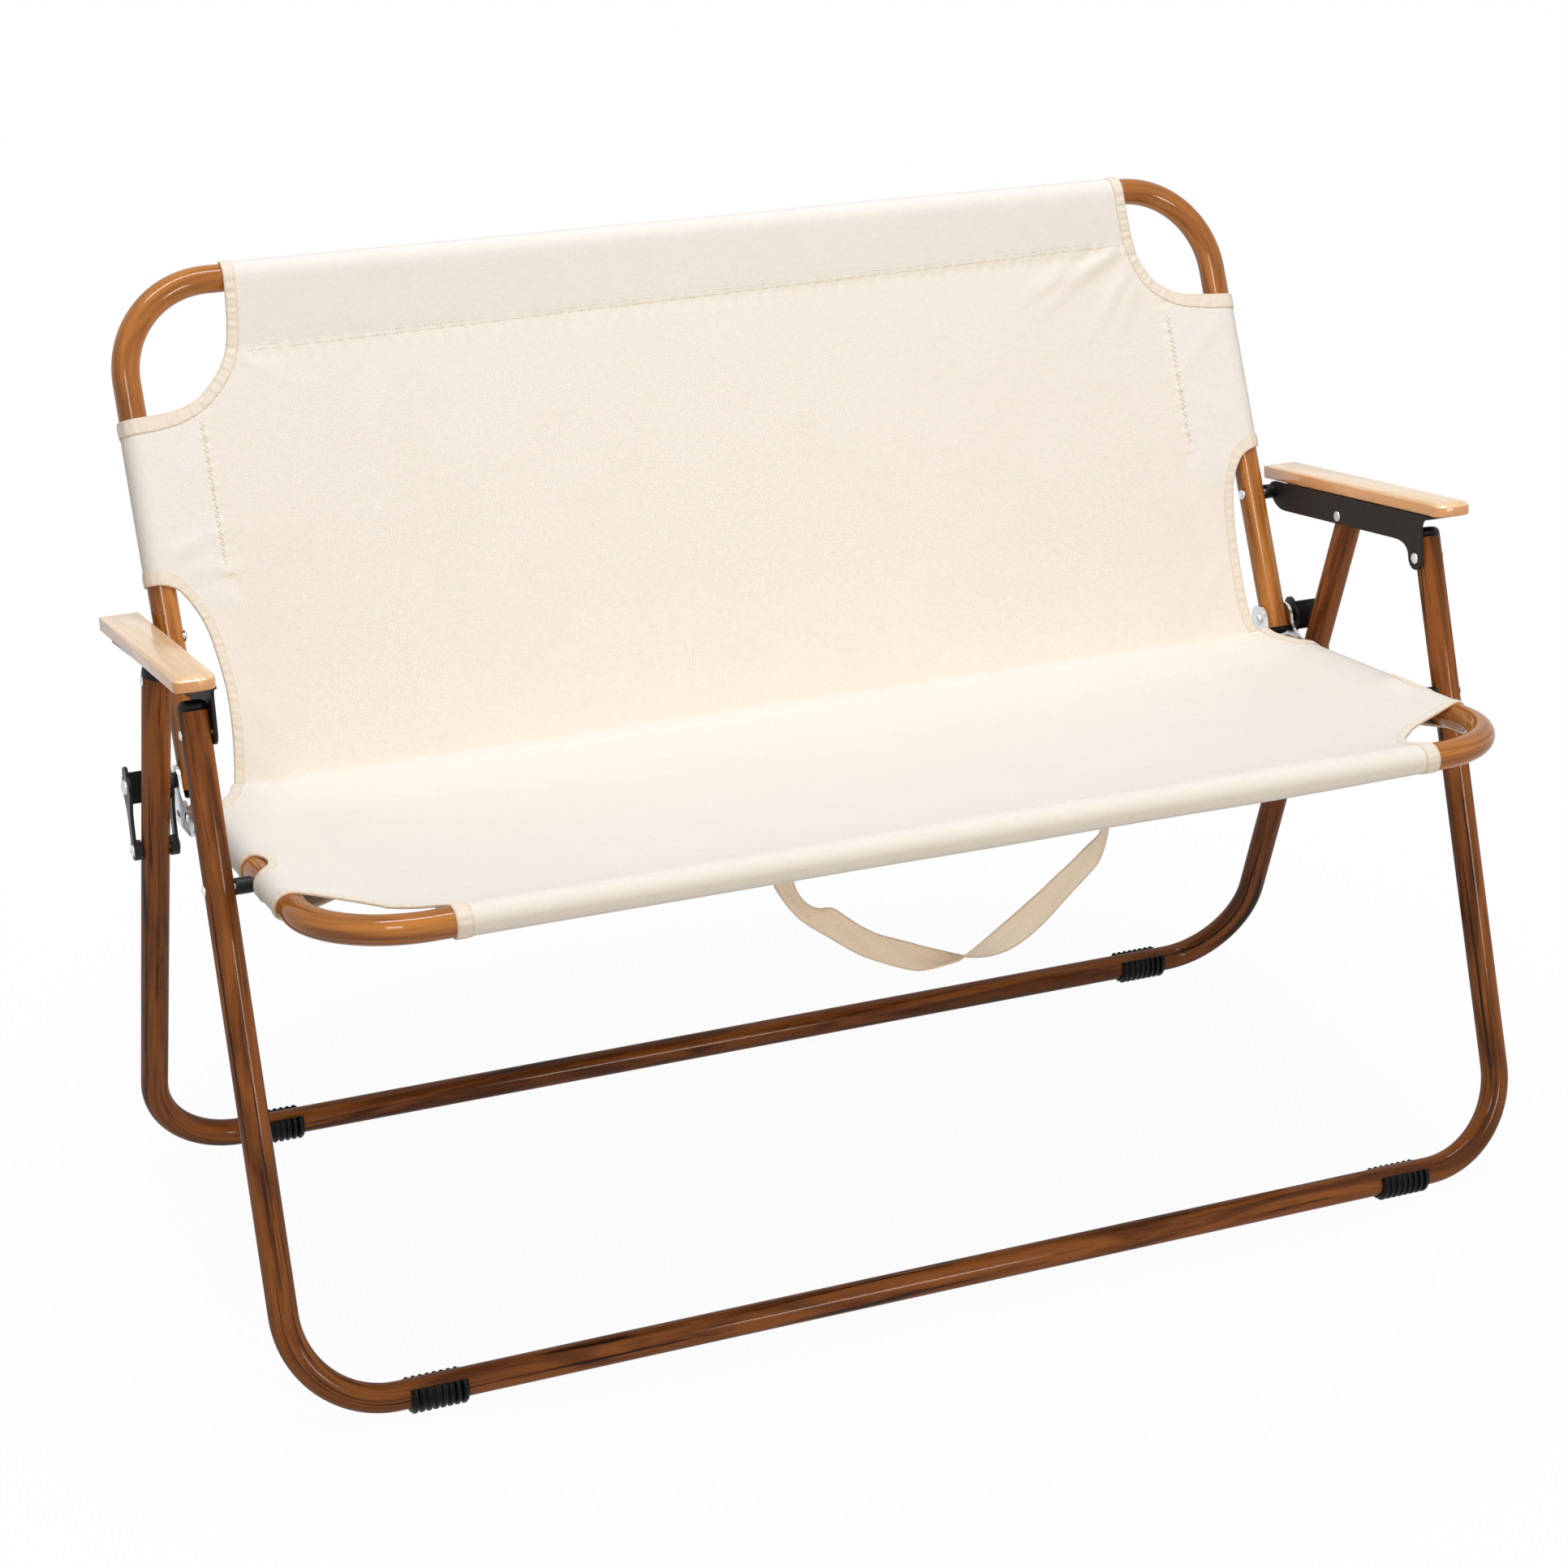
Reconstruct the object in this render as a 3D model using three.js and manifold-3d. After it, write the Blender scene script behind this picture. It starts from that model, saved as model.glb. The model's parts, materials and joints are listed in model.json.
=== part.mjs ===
// Folding two-seat camping bench: aluminium tube frames, beech armrests and a
// canvas sling. Millimetres, X across the bench, Y towards its back, Z up, with
// the origin on the ground under the middle of the bench.

import * as THREE from 'three';
import { mergeVertices } from 'three/addons/utils/BufferGeometryUtils.js';
import Module from 'manifold-3d';

const wasm = await Module();
wasm.setup();

// Tubes
const tubeDiameter = 22;
const tubeRadius = tubeDiameter / 2;
const bendRadius = 75;
const bendSteps = 7;
const tubeSides = 16;
const plateCurveSteps = 5;

// Clearances: every pair of touching pieces keeps the fit
const fit = 0.3;
const plateThickness = 2.5;
const cutOverrun = 1;
const weldDistance = 1e-4;

// Widths, from the middle plane outwards
const frameSpan = 956;
const sideGap = 13;
const frameX = frameSpan / 2;
const frameInnerX = frameX - tubeRadius;
const frameOuterX = frameX + tubeRadius;
const legInnerX = frameOuterX + sideGap;
const legX = legInnerX + tubeRadius;
const legOuterX = legX + tubeRadius;

// Feet under the floor bars
const footThickness = 3;
const footLength = 43;
const footInset = 101;
const footX = legX - footInset;
const footRibs = 8;
const footRibHeight = 1.2;
const footOpeningDegrees = 100;
const footSteps = 3;
const footBoreSteps = 12;
const footRibShare = 0.5;
const footGrooveShare = 0.93;
const floorBarZ = tubeRadius + footThickness;

// Side view: the legs, and the pivots of the fold
const footprintDepth = 445.2;
const frontBar = new THREE.Vector2(-footprintDepth / 2, floorBarZ);
const rearBar = new THREE.Vector2(footprintDepth / 2, floorBarZ);
const armPivotFrontY = -46;
const armPivotFrontZ = 478.5;
const armPivotRearY = 74.5;
const armPivotRearZ = 479;
const armPivotBackY = 177.5;
const armPivotBackZ = 472.3;
const hingeY = 134;
const hingeZ = 372.3;
const seatPivotZ = 374;
const linkPinDrop = 163.3;
const frontPivot = new THREE.Vector2(armPivotFrontY, armPivotFrontZ);
const rearPivot = new THREE.Vector2(armPivotRearY, armPivotRearZ);
const backPivot = new THREE.Vector2(armPivotBackY, armPivotBackZ);
const hinge = new THREE.Vector2(hingeY, hingeZ);
const seatPivotShare = (seatPivotZ - frontBar.y) / (frontPivot.y - frontBar.y);
const seatPivot = frontBar.clone().lerp(frontPivot, seatPivotShare);
const rearLegDirection = rearBar.clone().sub(rearPivot).normalize();
const linkPivot = rearPivot.clone().addScaledVector(rearLegDirection, linkPinDrop);

// Seat frame: the front bar lies ahead of the seat pivot, the tails behind it
const seatRiseDegrees = 6.2;
const seatReach = 155;
const seatTail = 197;
const seatTilt = THREE.MathUtils.degToRad(seatRiseDegrees);
const seatForward = new THREE.Vector2(-Math.cos(seatTilt), Math.sin(seatTilt));
const seatBar = seatPivot.clone().addScaledVector(seatForward, seatReach);

// Backrest frame: its tubes pass just ahead of the hinge
const backLeanDegrees = 26.1;
const backLength = 383.7;
const backTail = 9.5;
const hingeSetback = 2;
const backLean = THREE.MathUtils.degToRad(backLeanDegrees);
const backUp = new THREE.Vector2(Math.sin(backLean), Math.cos(backLean));
const backRearward = new THREE.Vector2(Math.cos(backLean), -Math.sin(backLean));
const backFoot = hinge.clone().addScaledVector(backRearward, -hingeSetback);
const backBar = backFoot.clone().addScaledVector(backUp, backLength);

// Tube caps
const frontLegOverhang = 16.3;
const rearLegOverhang = 5.5;
const frontCapHeight = 8;
const rearCapHeight = 7.2;
const backCapHeight = 4;
const seatCapHeight = 3;
const capShares = [[0, 1], [0.55, 0.95], [0.86, 0.6], [1, 0], [0, 0]];

// Armrest bracket: a steel angle whose plate hangs inside the legs
const armSlopeDegrees = 8.94;
const armTilt = -THREE.MathUtils.degToRad(armSlopeDegrees);
const bracketOuterX = legInnerX - fit;
const bracketInnerX = bracketOuterX - plateThickness;
const flangeTop = 36.6;
const flangeWidth = 27;
const bracketFront = 19.9;
const bracketLowerEdge = 12.8;
const bracketNeckU = 205;
const earRadius = 9.5;
const earThroat = 31;
const earShoulder = 26;
const bracketEndRadius = 8.2;
const bracketCurveSteps = 6;
const screwPlacesU = [30, 172];

// Beech armrest
const woodInset = 1.5;
const woodWidth = 31.5;
const woodThickness = 11.2;
const woodRear = 241.5;
const woodTip = 40;
const woodInnerStart = 22;
const woodOuterStart = 36;
const woodEdge = 1;
const woodCurveSteps = 6;

// Hinge bracket: zinc-plated channel round the tail of the seat tube
const zincInnerFaceX = frameInnerX - fit;
const zincOuterFaceX = frameOuterX + fit;
const zincTopRadius = 12;
const zincLobeRadius = 8;
const zincFront = 16;
const zincBack = 48;
const zincSlotLength = 14;
const zincSlotWidth = 5;
const zincHoleRadius = 2.6;
const tailRivetInset = 8;

// Saddle link: two straps astride the rear leg, joined by a web
const linkStandoff = 4;
const linkInnerFaceX = legInnerX - linkStandoff;
const linkOuterFaceX = legOuterX + linkStandoff;
const linkBossRadius = 8;
const linkStrapWidth = 10;
const linkHeadWidth = 26;
const linkKnobRadius = 7.5;
const linkKnobReach = 8.5;
const linkHeadStart = 22;
const linkWebGap = 1.15;
const linkWebBelow = 12.4;
const linkWebAbove = 12.1;
const linkWebThickness = 2.8;
const linkCurveSteps = 4;

// Pins
const shankRadius = 3;
const boreRadius = shankRadius + fit;
const rivetHeadRadius = 5;
const rivetHeadHeight = 2.6;
const boltHeadRadius = 6.5;
const boltHeadHeight = 3.6;
const hingeHeadRadius = 7.5;
const hingeHeadHeight = 4.6;
const nutRadius = 4.5;
const spacerRadius = 6.2;
const screwHeadRadius = 4;
const screwHeadHeight = 2;
const screwShankRadius = 1.8;
const screwBite = 8;
const pinSides = 12;
const headShares = [[0, 1], [0.6, 0.82], [0.94, 0.3], [1, 0]];

// Canvas: two panels with sleeves sewn round the tubes
const clothThickness = 2.4;
const clothHalf = clothThickness / 2;
const sleeveBore = tubeRadius + fit;
const sleeveRadius = tubeRadius + 1.7;
const sleeveReach = 58;
const topSleeveReach = 55;
const frontSleeveReach = 50;
const sleeveEndInset = 8;
const sleeveCurveSteps = 9;
const panelCurveSteps = 6;
const wingDrop = 100.7;
const wingAbovePivot = 41.1;
const waistInset = 29;
const waistHeight = 30;
const backHem = -14.5;
const backHemInset = 28;
const shortSleeveInset = 15;
const longSleeveInset = 41;
const pivotNotchHalf = 21;
const notchInset = 23;
const cornerNotchX = 21;
const cornerNotchY = 29;
const creaseInset = 32;
const topSleeveHalf = frameX - bendRadius - sleeveEndInset;
const frontSleeveHalf = topSleeveHalf;
const wingTop = backLength - wingDrop;
const backPivotHeight = backPivot.clone().sub(backFoot).dot(backUp);
const wingBottom = backPivotHeight + wingAbovePivot;
const wingNotchInset = 1;
const wingNotchX = topSleeveHalf - wingNotchInset;
const waistX = frameX - waistInset;
const backHemX = frameX - backHemInset;
const seatSleeveFront = seatReach - bendRadius - shortSleeveInset;
const seatSleeveRear = seatTail - longSleeveInset;
const notchX = frameX - notchInset;
const cornerX = frameX - bendRadius - cornerNotchX;
const cornerAhead = seatReach - cornerNotchY;
const creaseX = frameX - creaseInset;
const creaseRise = 9;
const creaseRiseLength = 60;
const sleeveLap = 45;

// Carry strap under the front of the seat
const strapWidth = 25;
const strapThickness = 2;
const strapY = -205;
const strapBelowBar = 9.6;
const strapTopZ = seatBar.y - strapBelowBar;
const strapHalf = 135;
const strapDrop = 112;
const strapSteps = 26;
const strapShares = [
  [-1, 0], [-0.9, 0.38], [-0.67, 0.4], [-0.38, 0.68], [-0.15, 0.99],
  [0.13, 0.94], [0.32, 1], [0.45, 0.92], [0.97, 0.4], [1, 0],
];

const materials = {
  legFilm: finish('dark walnut film on aluminium', 0x6a3f1f, 0.35, 0.1),
  frameFilm: finish('amber walnut film on aluminium', 0xa5672e, 0.35, 0.1),
  blackPlastic: finish('black plastic', 0x16150f, 0.45, 0),
  blackSteel: finish('black powder-coated steel', 0x1c1a18, 0.5, 0.3),
  zincSteel: finish('zinc-plated steel', 0xb9bcc0, 0.3, 0.9),
  beech: finish('lacquered beech', 0xe0b078, 0.4, 0),
  canvas: finish('cream cotton canvas', 0xe9dcc6, 0.9, 0),
  webbing: finish('tan cotton webbing', 0xc9a878, 0.9, 0),
};

/** A named surface with its colour, roughness and metalness. */
function finish(name, color, roughness, metalness) {
  const material = new THREE.MeshStandardMaterial({ color, roughness, metalness });
  material.name = name;
  return material;
}

/** Welds a closed geometry into a solid for joining and cutting. */
function toSolid(geometry) {
  const bare = geometry.clone();
  bare.deleteAttribute('normal');
  bare.deleteAttribute('uv');
  const welded = mergeVertices(bare, weldDistance);
  const corners = welded.getIndex().array;
  const triangles = [];
  for (let i = 0; i < corners.length; i += 3) {
    const [a, b, c] = corners.slice(i, i + 3);
    if (a !== b && b !== c && c !== a) triangles.push(a, b, c);
  }
  return new wasm.Manifold(new wasm.Mesh({
    numProp: 3,
    vertProperties: welded.getAttribute('position').array,
    triVerts: new Uint32Array(triangles),
  }));
}

/** Turns a solid back into a geometry. */
function toGeometry(solid) {
  const mesh = solid.getMesh();
  const geometry = new THREE.BufferGeometry();
  geometry.setAttribute('position', new THREE.BufferAttribute(mesh.vertProperties, 3));
  geometry.setIndex(new THREE.BufferAttribute(mesh.triVerts, 1));
  geometry.computeVertexNormals();
  return geometry;
}

/** Joins geometries into one body. */
function join(...geometries) {
  return toGeometry(geometries.map(toSolid).reduce((whole, piece) => whole.add(piece)));
}

/** Cuts the cutters out of a geometry. */
function cut(geometry, cutters) {
  return toGeometry(cutters.map(toSolid).reduce((whole, piece) => whole.subtract(piece), toSolid(geometry)));
}

/** Points of a full circle, without a doubled first point. */
function circlePoints(radius, sides, centreU = 0, centreV = 0) {
  return Array.from({ length: sides }, (_, i) => {
    const angle = (i / sides) * 2 * Math.PI;
    return new THREE.Vector2(centreU + radius * Math.cos(angle), centreV + radius * Math.sin(angle));
  });
}

/** Points along an arc, both ends included. */
function arcPoints(radius, fromAngle, toAngle, steps) {
  return Array.from({ length: steps + 1 }, (_, i) => {
    const angle = fromAngle + (i / steps) * (toAngle - fromAngle);
    return new THREE.Vector2(radius * Math.cos(angle), radius * Math.sin(angle));
  });
}

/** A cylinder along X for boring a tube from side to side. */
function crossBore(fromX, toX, y, z, radius = boreRadius) {
  const bore = new THREE.CylinderGeometry(radius, radius, toX - fromX, pinSides);
  bore.rotateZ(Math.PI / 2);
  return bore.translate((fromX + toX) / 2, y, z);
}

/** A cylinder along Z for boring through flat stock. */
function uprightBore(x, y, fromZ, toZ, radius) {
  const bore = new THREE.CylinderGeometry(radius, radius, toZ - fromZ, pinSides);
  bore.rotateX(Math.PI / 2);
  return bore.translate(x, y, (fromZ + toZ) / 2);
}

/** Extrudes a shape drawn in the YZ plane along X, between two faces. */
function plate(shape, fromX, toX, curveSegments = plateCurveSteps) {
  const depth = toX - fromX;
  const geometry = new THREE.ExtrudeGeometry(shape, { depth, bevelEnabled: false, curveSegments });
  const turn = new THREE.Matrix4().makeBasis(
    new THREE.Vector3(0, 1, 0), new THREE.Vector3(0, 0, 1), new THREE.Vector3(1, 0, 0));
  return geometry.applyMatrix4(turn).translate(fromX, 0, 0);
}

/** The X range of a piece on one side, given its two distances outwards. */
function sideRange(side, inner, outer) {
  return side > 0 ? [inner, outer] : [-outer, -inner];
}

/** A turned piece on the X axis; its profile gives radius and distance outwards. */
function turned(profile, side) {
  const points = profile.map(([radius, x]) => new THREE.Vector2(radius, x));
  return new THREE.LatheGeometry(points, pinSides).rotateZ(-side * Math.PI / 2);
}

/** Profile of a pin, with a domed head at either end where one is given. */
function pinProfile(fromX, toX, innerHead, outerHead) {
  const profile = [];
  if (innerHead) {
    for (const [r, h] of headShares) profile.push([r * innerHead.radius, fromX - h * innerHead.height]);
  } else {
    profile.push([0, fromX]);
  }
  profile.push([shankRadius, fromX], [shankRadius, toX]);
  if (outerHead) {
    const dome = [...headShares].reverse();
    for (const [r, h] of dome) profile.push([r * outerHead.radius, toX + h * outerHead.height]);
  } else {
    profile.push([0, toX]);
  }
  return profile;
}

/** Profile of a ring round a pin. */
function ringProfile(radius, fromX, toX) {
  return [[boreRadius, fromX], [radius, fromX], [radius, toX], [boreRadius, toX], [boreRadius, fromX]];
}

/** Profile of a spacer sleeve round a pin. */
function spacerProfile(fromX, toX) {
  return ringProfile(spacerRadius, fromX, toX);
}

const rivetHead = { radius: rivetHeadRadius, height: rivetHeadHeight };
const boltHead = { radius: boltHeadRadius, height: boltHeadHeight };
const hingeHead = { radius: hingeHeadRadius, height: hingeHeadHeight };
const nutHead = { radius: nutRadius, height: boltHeadHeight };

/** A U of tube in its own XZ plane: leg, bend, cross bar at the origin, bend, leg. */
class BentTube extends THREE.Curve {
  constructor(halfSpan, legLength) {
    super();
    this.stations = [{ point: [-halfSpan, legLength], heading: [0, -1] }];
    this.addBend(-halfSpan + bendRadius, Math.PI);
    this.addBend(halfSpan - bendRadius, 1.5 * Math.PI);
    this.stations.push({ point: [halfSpan, legLength], heading: [0, 1] });
  }

  addBend(centreX, startAngle) {
    for (let i = 0; i <= bendSteps; i += 1) {
      const angle = startAngle + (i / bendSteps) * (Math.PI / 2);
      const point = [centreX + bendRadius * Math.cos(angle), bendRadius * (1 + Math.sin(angle))];
      this.stations.push({ point, heading: [-Math.sin(angle), Math.cos(angle)] });
    }
  }

  between(key, share, target) {
    const place = share * (this.stations.length - 1);
    const low = Math.min(Math.floor(place), this.stations.length - 2);
    const [ax, az] = this.stations[low][key];
    const [bx, bz] = this.stations[low + 1][key];
    const part = place - low;
    return target.set(ax + (bx - ax) * part, 0, az + (bz - az) * part);
  }

  getPoint(share, target = new THREE.Vector3()) {
    return this.between('point', share, target);
  }

  getPointAt(share, target) {
    return this.getPoint(share, target);
  }

  getTangent(share, target = new THREE.Vector3()) {
    return this.between('heading', share, target).normalize();
  }

  getTangentAt(share, target) {
    return this.getTangent(share, target);
  }
}

/** A bent tube frame, bored for the pins that cross its two legs. */
function tubeFrame(halfSpan, legLength, bores) {
  const path = new BentTube(halfSpan, legLength);
  const section = new THREE.Shape(circlePoints(tubeRadius, tubeSides));
  const steps = path.stations.length - 1;
  const geometry = new THREE.ExtrudeGeometry(section, { steps, bevelEnabled: false, extrudePath: path });
  const reach = tubeRadius + cutOverrun;
  const cutters = [-halfSpan, halfSpan].flatMap((x) =>
    bores.map((bore) => crossBore(x - reach, x + reach, bore.x, bore.y)));
  return cut(geometry, cutters);
}

/** The tilt about X that stands a frame's own Z axis from one side point to another. */
function tiltTowards(from, to) {
  return Math.atan2(from.x - to.x, to.y - from.y);
}

/** A side point in the coordinates of a tilted frame. */
function toFrame(point, origin, tilt) {
  return point.clone().sub(origin).rotateAround(new THREE.Vector2(), -tilt);
}

/** A nested frame placed at a side point and tilted about X. */
function tiltedGroup(origin, tilt) {
  const group = new THREE.Group();
  group.position.set(0, origin.x, origin.y);
  group.rotation.x = tilt;
  return group;
}

/** Adds a named mesh to a group at a place given in that group. */
function place(group, name, geometry, material, x = 0, y = 0, z = 0) {
  const mesh = new THREE.Mesh(geometry, material);
  mesh.name = name;
  mesh.position.set(x, y, z);
  group.add(mesh);
  return mesh;
}

const sides = [['left', -1], ['right', 1]];

/** Adds one turned pin to each side of the bench, at a side point. */
function placePins(group, name, profile, material, point) {
  for (const [label, side] of sides) {
    place(group, `${name}_${label}`, turned(profile, side), material, 0, point.x, point.y);
  }
}

/** Adds domed caps to the two open ends of a tube frame. */
function placeCaps(group, name, halfSpan, legLength, height) {
  const profile = [...capShares].reverse().map(([r, h]) => new THREE.Vector2(r * tubeRadius, h * height));
  for (const [label, side] of sides) {
    const geometry = new THREE.LatheGeometry(profile, tubeSides).rotateX(Math.PI / 2);
    place(group, `${name}_${label}`, geometry, materials.blackPlastic, side * halfSpan, 0, legLength + fit);
  }
}

/** The legs, a U with its cross bar on the ground, bored at its pivots and capped on top. */
function buildLegs(chair, name, bar, pivots, overhang, capHeight) {
  const pivot = pivots[0];
  const group = tiltedGroup(bar, tiltTowards(bar, pivot));
  const bores = pivots.map((point) => toFrame(point, bar, group.rotation.x));
  const length = bar.distanceTo(pivot) + overhang;
  place(group, `${name}_frame`, tubeFrame(legX, length, bores), materials.legFilm);
  placeCaps(group, `${name}_cap`, legX, length, capHeight);
  chair.add(group);
}

/** Outline of a foot clip: a ring open at the top with a flat on the ground. */
function footOutline(outerRadius, footBaseShare) {
  const opening = THREE.MathUtils.degToRad(footOpeningDegrees) / 2;
  const start = Math.PI / 2 + opening;
  const end = 2.5 * Math.PI - opening;
  const down = 1.5 * Math.PI;
  const flat = Math.acos(Math.min(1, footBaseShare * floorBarZ / outerRadius));
  return [
    ...arcPoints(outerRadius, start, down - flat, footSteps),
    ...arcPoints(outerRadius, down + flat, end, footSteps),
    ...arcPoints(tubeRadius + fit, end, start, footBoreSteps),
  ];
}

/** A closed skin along X through a row of outlines with as many points each. */
function loft(outlines, placesX) {
  const count = outlines[0].length;
  const last = (outlines.length - 1) * count;
  const positions = outlines.flatMap((outline, i) =>
    outline.flatMap((point) => [placesX[i], point.x, point.y]));
  const corners = [];
  for (let i = 0; i < last; i += 1) {
    const next = i % count === count - 1 ? i + 1 - count : i + 1;
    corners.push(i, next, next + count, i, next + count, i + count);
  }
  for (const [a, b, c] of THREE.ShapeUtils.triangulateShape(outlines[0], [])) {
    corners.push(c, b, a, a + last, b + last, c + last);
  }
  const geometry = new THREE.BufferGeometry();
  geometry.setAttribute('position', new THREE.Float32BufferAttribute(positions, 3));
  geometry.setIndex(corners);
  geometry.computeVertexNormals();
  return geometry;
}

/** One foot clip round a floor bar: flat-topped ribs with a groove between each two. */
function footClip() {
  const rib = footOutline(tubeRadius + footThickness + footRibHeight, 1);
  const groove = footOutline(tubeRadius + footThickness - footRibHeight / 2, footGrooveShare);
  const pitch = footLength / (footRibs - 1 + footRibShare);
  const outlines = [];
  const placesX = [];
  for (let i = 0; i < footRibs; i += 1) {
    const start = i * pitch - footLength / 2;
    outlines.push(rib, rib);
    placesX.push(start, start + footRibShare * pitch);
    if (i + 1 < footRibs) {
      outlines.push(groove);
      placesX.push(start + (1 + footRibShare) * (pitch / 2));
    }
  }
  return loft(outlines, placesX);
}

/** Four ribbed feet, two under each floor bar. */
function buildFeet(chair) {
  for (const [end, bar] of [['front', frontBar], ['rear', rearBar]]) {
    for (const [label, side] of sides) {
      place(chair, `foot_${end}_${label}`, footClip(), materials.blackPlastic, side * footX, bar.x, bar.y);
    }
  }
}

/** Outline of the bracket's plate in the armrest's own frame, with its pivot holes. */
function bracketOutline(rear, back) {
  const shape = new THREE.Shape();
  shape.moveTo(-bracketFront, flangeTop);
  shape.lineTo(-bracketFront, flangeTop - plateThickness);
  shape.quadraticCurveTo(-earRadius, flangeTop - plateThickness, -earRadius, earShoulder);
  shape.lineTo(-earRadius, 0);
  shape.absarc(0, 0, earRadius, Math.PI, 2 * Math.PI, false);
  shape.quadraticCurveTo(earRadius, bracketLowerEdge, earThroat, bracketLowerEdge);
  shape.lineTo(bracketNeckU, bracketLowerEdge);
  shape.quadraticCurveTo(back.x, bracketLowerEdge, back.x + bracketEndRadius, back.y);
  shape.quadraticCurveTo(back.x + bracketEndRadius, flangeTop, back.x, flangeTop);
  for (const pivot of [new THREE.Vector2(), rear, back]) {
    shape.holes.push(new THREE.Path(circlePoints(boreRadius, pinSides, pivot.x, pivot.y)));
  }
  return shape;
}

/** The steel angle that carries one armrest. */
function armrestBracket(side, rear, back) {
  const [plateFrom, plateTo] = sideRange(side, bracketInnerX, bracketOuterX);
  const web = plate(bracketOutline(rear, back), plateFrom, plateTo, bracketCurveSteps);
  const [fromX, toX] = sideRange(side, bracketInnerX, bracketInnerX + flangeWidth);
  const length = bracketFront + bracketNeckU;
  const flange = new THREE.BoxGeometry(toX - fromX, length, plateThickness);
  flange.translate((fromX + toX) / 2, length / 2 - bracketFront, flangeTop - plateThickness / 2);
  return cut(join(web, flange), armScrewBores(side));
}

/** The places of one armrest's wood screws, as bores through flange and wood. */
function armScrewBores(side) {
  const x = side * (bracketInnerX + flangeWidth / 2);
  const top = flangeTop + fit + screwBite + fit;
  return screwPlacesU.map((u) =>
    uprightBore(x, u, flangeTop - plateThickness - cutOverrun, top, screwShankRadius + fit));
}

/** One beech armrest, rounded at its front end. */
function armrestWood(side) {
  const inner = side * (bracketInnerX + woodInset);
  const outer = side * (bracketInnerX + woodInset + woodWidth);
  const nose = side * (bracketInnerX + woodInset + woodInnerStart);
  const shape = new THREE.Shape();
  shape.moveTo(inner, woodRear);
  shape.lineTo(inner, -woodInnerStart);
  shape.quadraticCurveTo(inner, -woodTip, nose, -woodTip);
  shape.quadraticCurveTo(outer, -woodTip, outer, -woodOuterStart);
  shape.lineTo(outer, woodRear);
  const wood = new THREE.ExtrudeGeometry(shape, {
    depth: woodThickness - 2 * woodEdge,
    bevelThickness: woodEdge,
    bevelSize: woodEdge,
    bevelOffset: -woodEdge,
    bevelSegments: 1,
    curveSegments: woodCurveSteps,
  });
  wood.translate(0, 0, flangeTop + fit + woodEdge);
  return cut(wood, armScrewBores(side));
}

/** A wood screw driven up through the flange. */
function armScrew() {
  const seat = flangeTop - plateThickness - fit;
  const profile = [
    ...headShares.map(([r, h]) => [r * screwHeadRadius, seat - h * screwHeadHeight]),
    [screwShankRadius, seat],
    [screwShankRadius, flangeTop + fit + screwBite],
    [0, flangeTop + fit + screwBite],
  ];
  const points = profile.map(([radius, z]) => new THREE.Vector2(radius, z));
  return new THREE.LatheGeometry(points, pinSides / 2).rotateX(Math.PI / 2);
}

/** Both armrests with their brackets, screws and the nuts at their rear ends. */
function buildArmrests(chair) {
  const group = tiltedGroup(frontPivot, armTilt);
  const rear = toFrame(rearPivot, frontPivot, armTilt);
  const back = toFrame(backPivot, frontPivot, armTilt);
  for (const [label, side] of sides) {
    const screwX = side * (bracketInnerX + flangeWidth / 2);
    place(group, `armrest_bracket_${label}`, armrestBracket(side, rear, back), materials.blackSteel);
    place(group, `armrest_${label}`, armrestWood(side), materials.beech);
    screwPlacesU.forEach((u, i) => {
      const end = i === 0 ? 'front' : 'rear';
      place(group, `armrest_screw_${end}_${label}`, armScrew(), materials.zincSteel, screwX, u);
    });
  }
  placePins(group, 'armrest_nut', pinProfile(bracketInnerX, bracketOuterX + fit, null, nutHead),
    materials.zincSteel, back);
  chair.add(group);
}

/** The seat's U of tube and the caps on its tails. */
function buildSeatFrame(chair) {
  const group = tiltedGroup(seatBar, tiltTowards(seatBar, seatPivot));
  const tail = new THREE.Vector2(0, seatReach + seatTail - tailRivetInset);
  const bores = [new THREE.Vector2(0, seatReach), tail];
  place(group, 'seat_frame', tubeFrame(frameX, seatReach + seatTail, bores), materials.frameFilm);
  placeCaps(group, 'seat_cap', frameX, seatReach + seatTail, seatCapHeight);
  chair.add(group);
}

/** Outline of a hinge bracket's cheek, in a frame laid along the seat tube's tail. */
function zincOutline(pin, tailEnd) {
  const under = -(tubeRadius + fit + plateThickness);
  const front = tailEnd - zincFront;
  const lobe = new THREE.Vector2(tailEnd + zincBack - zincLobeRadius, under + zincLobeRadius);
  const shape = new THREE.Shape();
  shape.moveTo(front, under);
  shape.lineTo(lobe.x, under);
  shape.absarc(lobe.x, lobe.y, zincLobeRadius, -Math.PI / 2, Math.PI / 4, false);
  shape.lineTo(pin.x + zincTopRadius, pin.y);
  shape.absarc(pin.x, pin.y, zincTopRadius, 0, Math.PI, false);
  shape.quadraticCurveTo(pin.x - zincTopRadius, tubeRadius, front, tubeRadius / 2);
  shape.holes.push(new THREE.Path(circlePoints(boreRadius, pinSides, pin.x, pin.y)));
  shape.holes.push(new THREE.Path(circlePoints(boreRadius, pinSides, tailEnd - tailRivetInset, 0)));
  shape.holes.push(new THREE.Path(circlePoints(zincHoleRadius, pinSides, lobe.x, lobe.y)));
  shape.holes.push(slotPath((tailEnd + lobe.x) / 2, -zincSlotWidth, zincSlotLength, zincSlotWidth));
  return shape;
}

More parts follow.
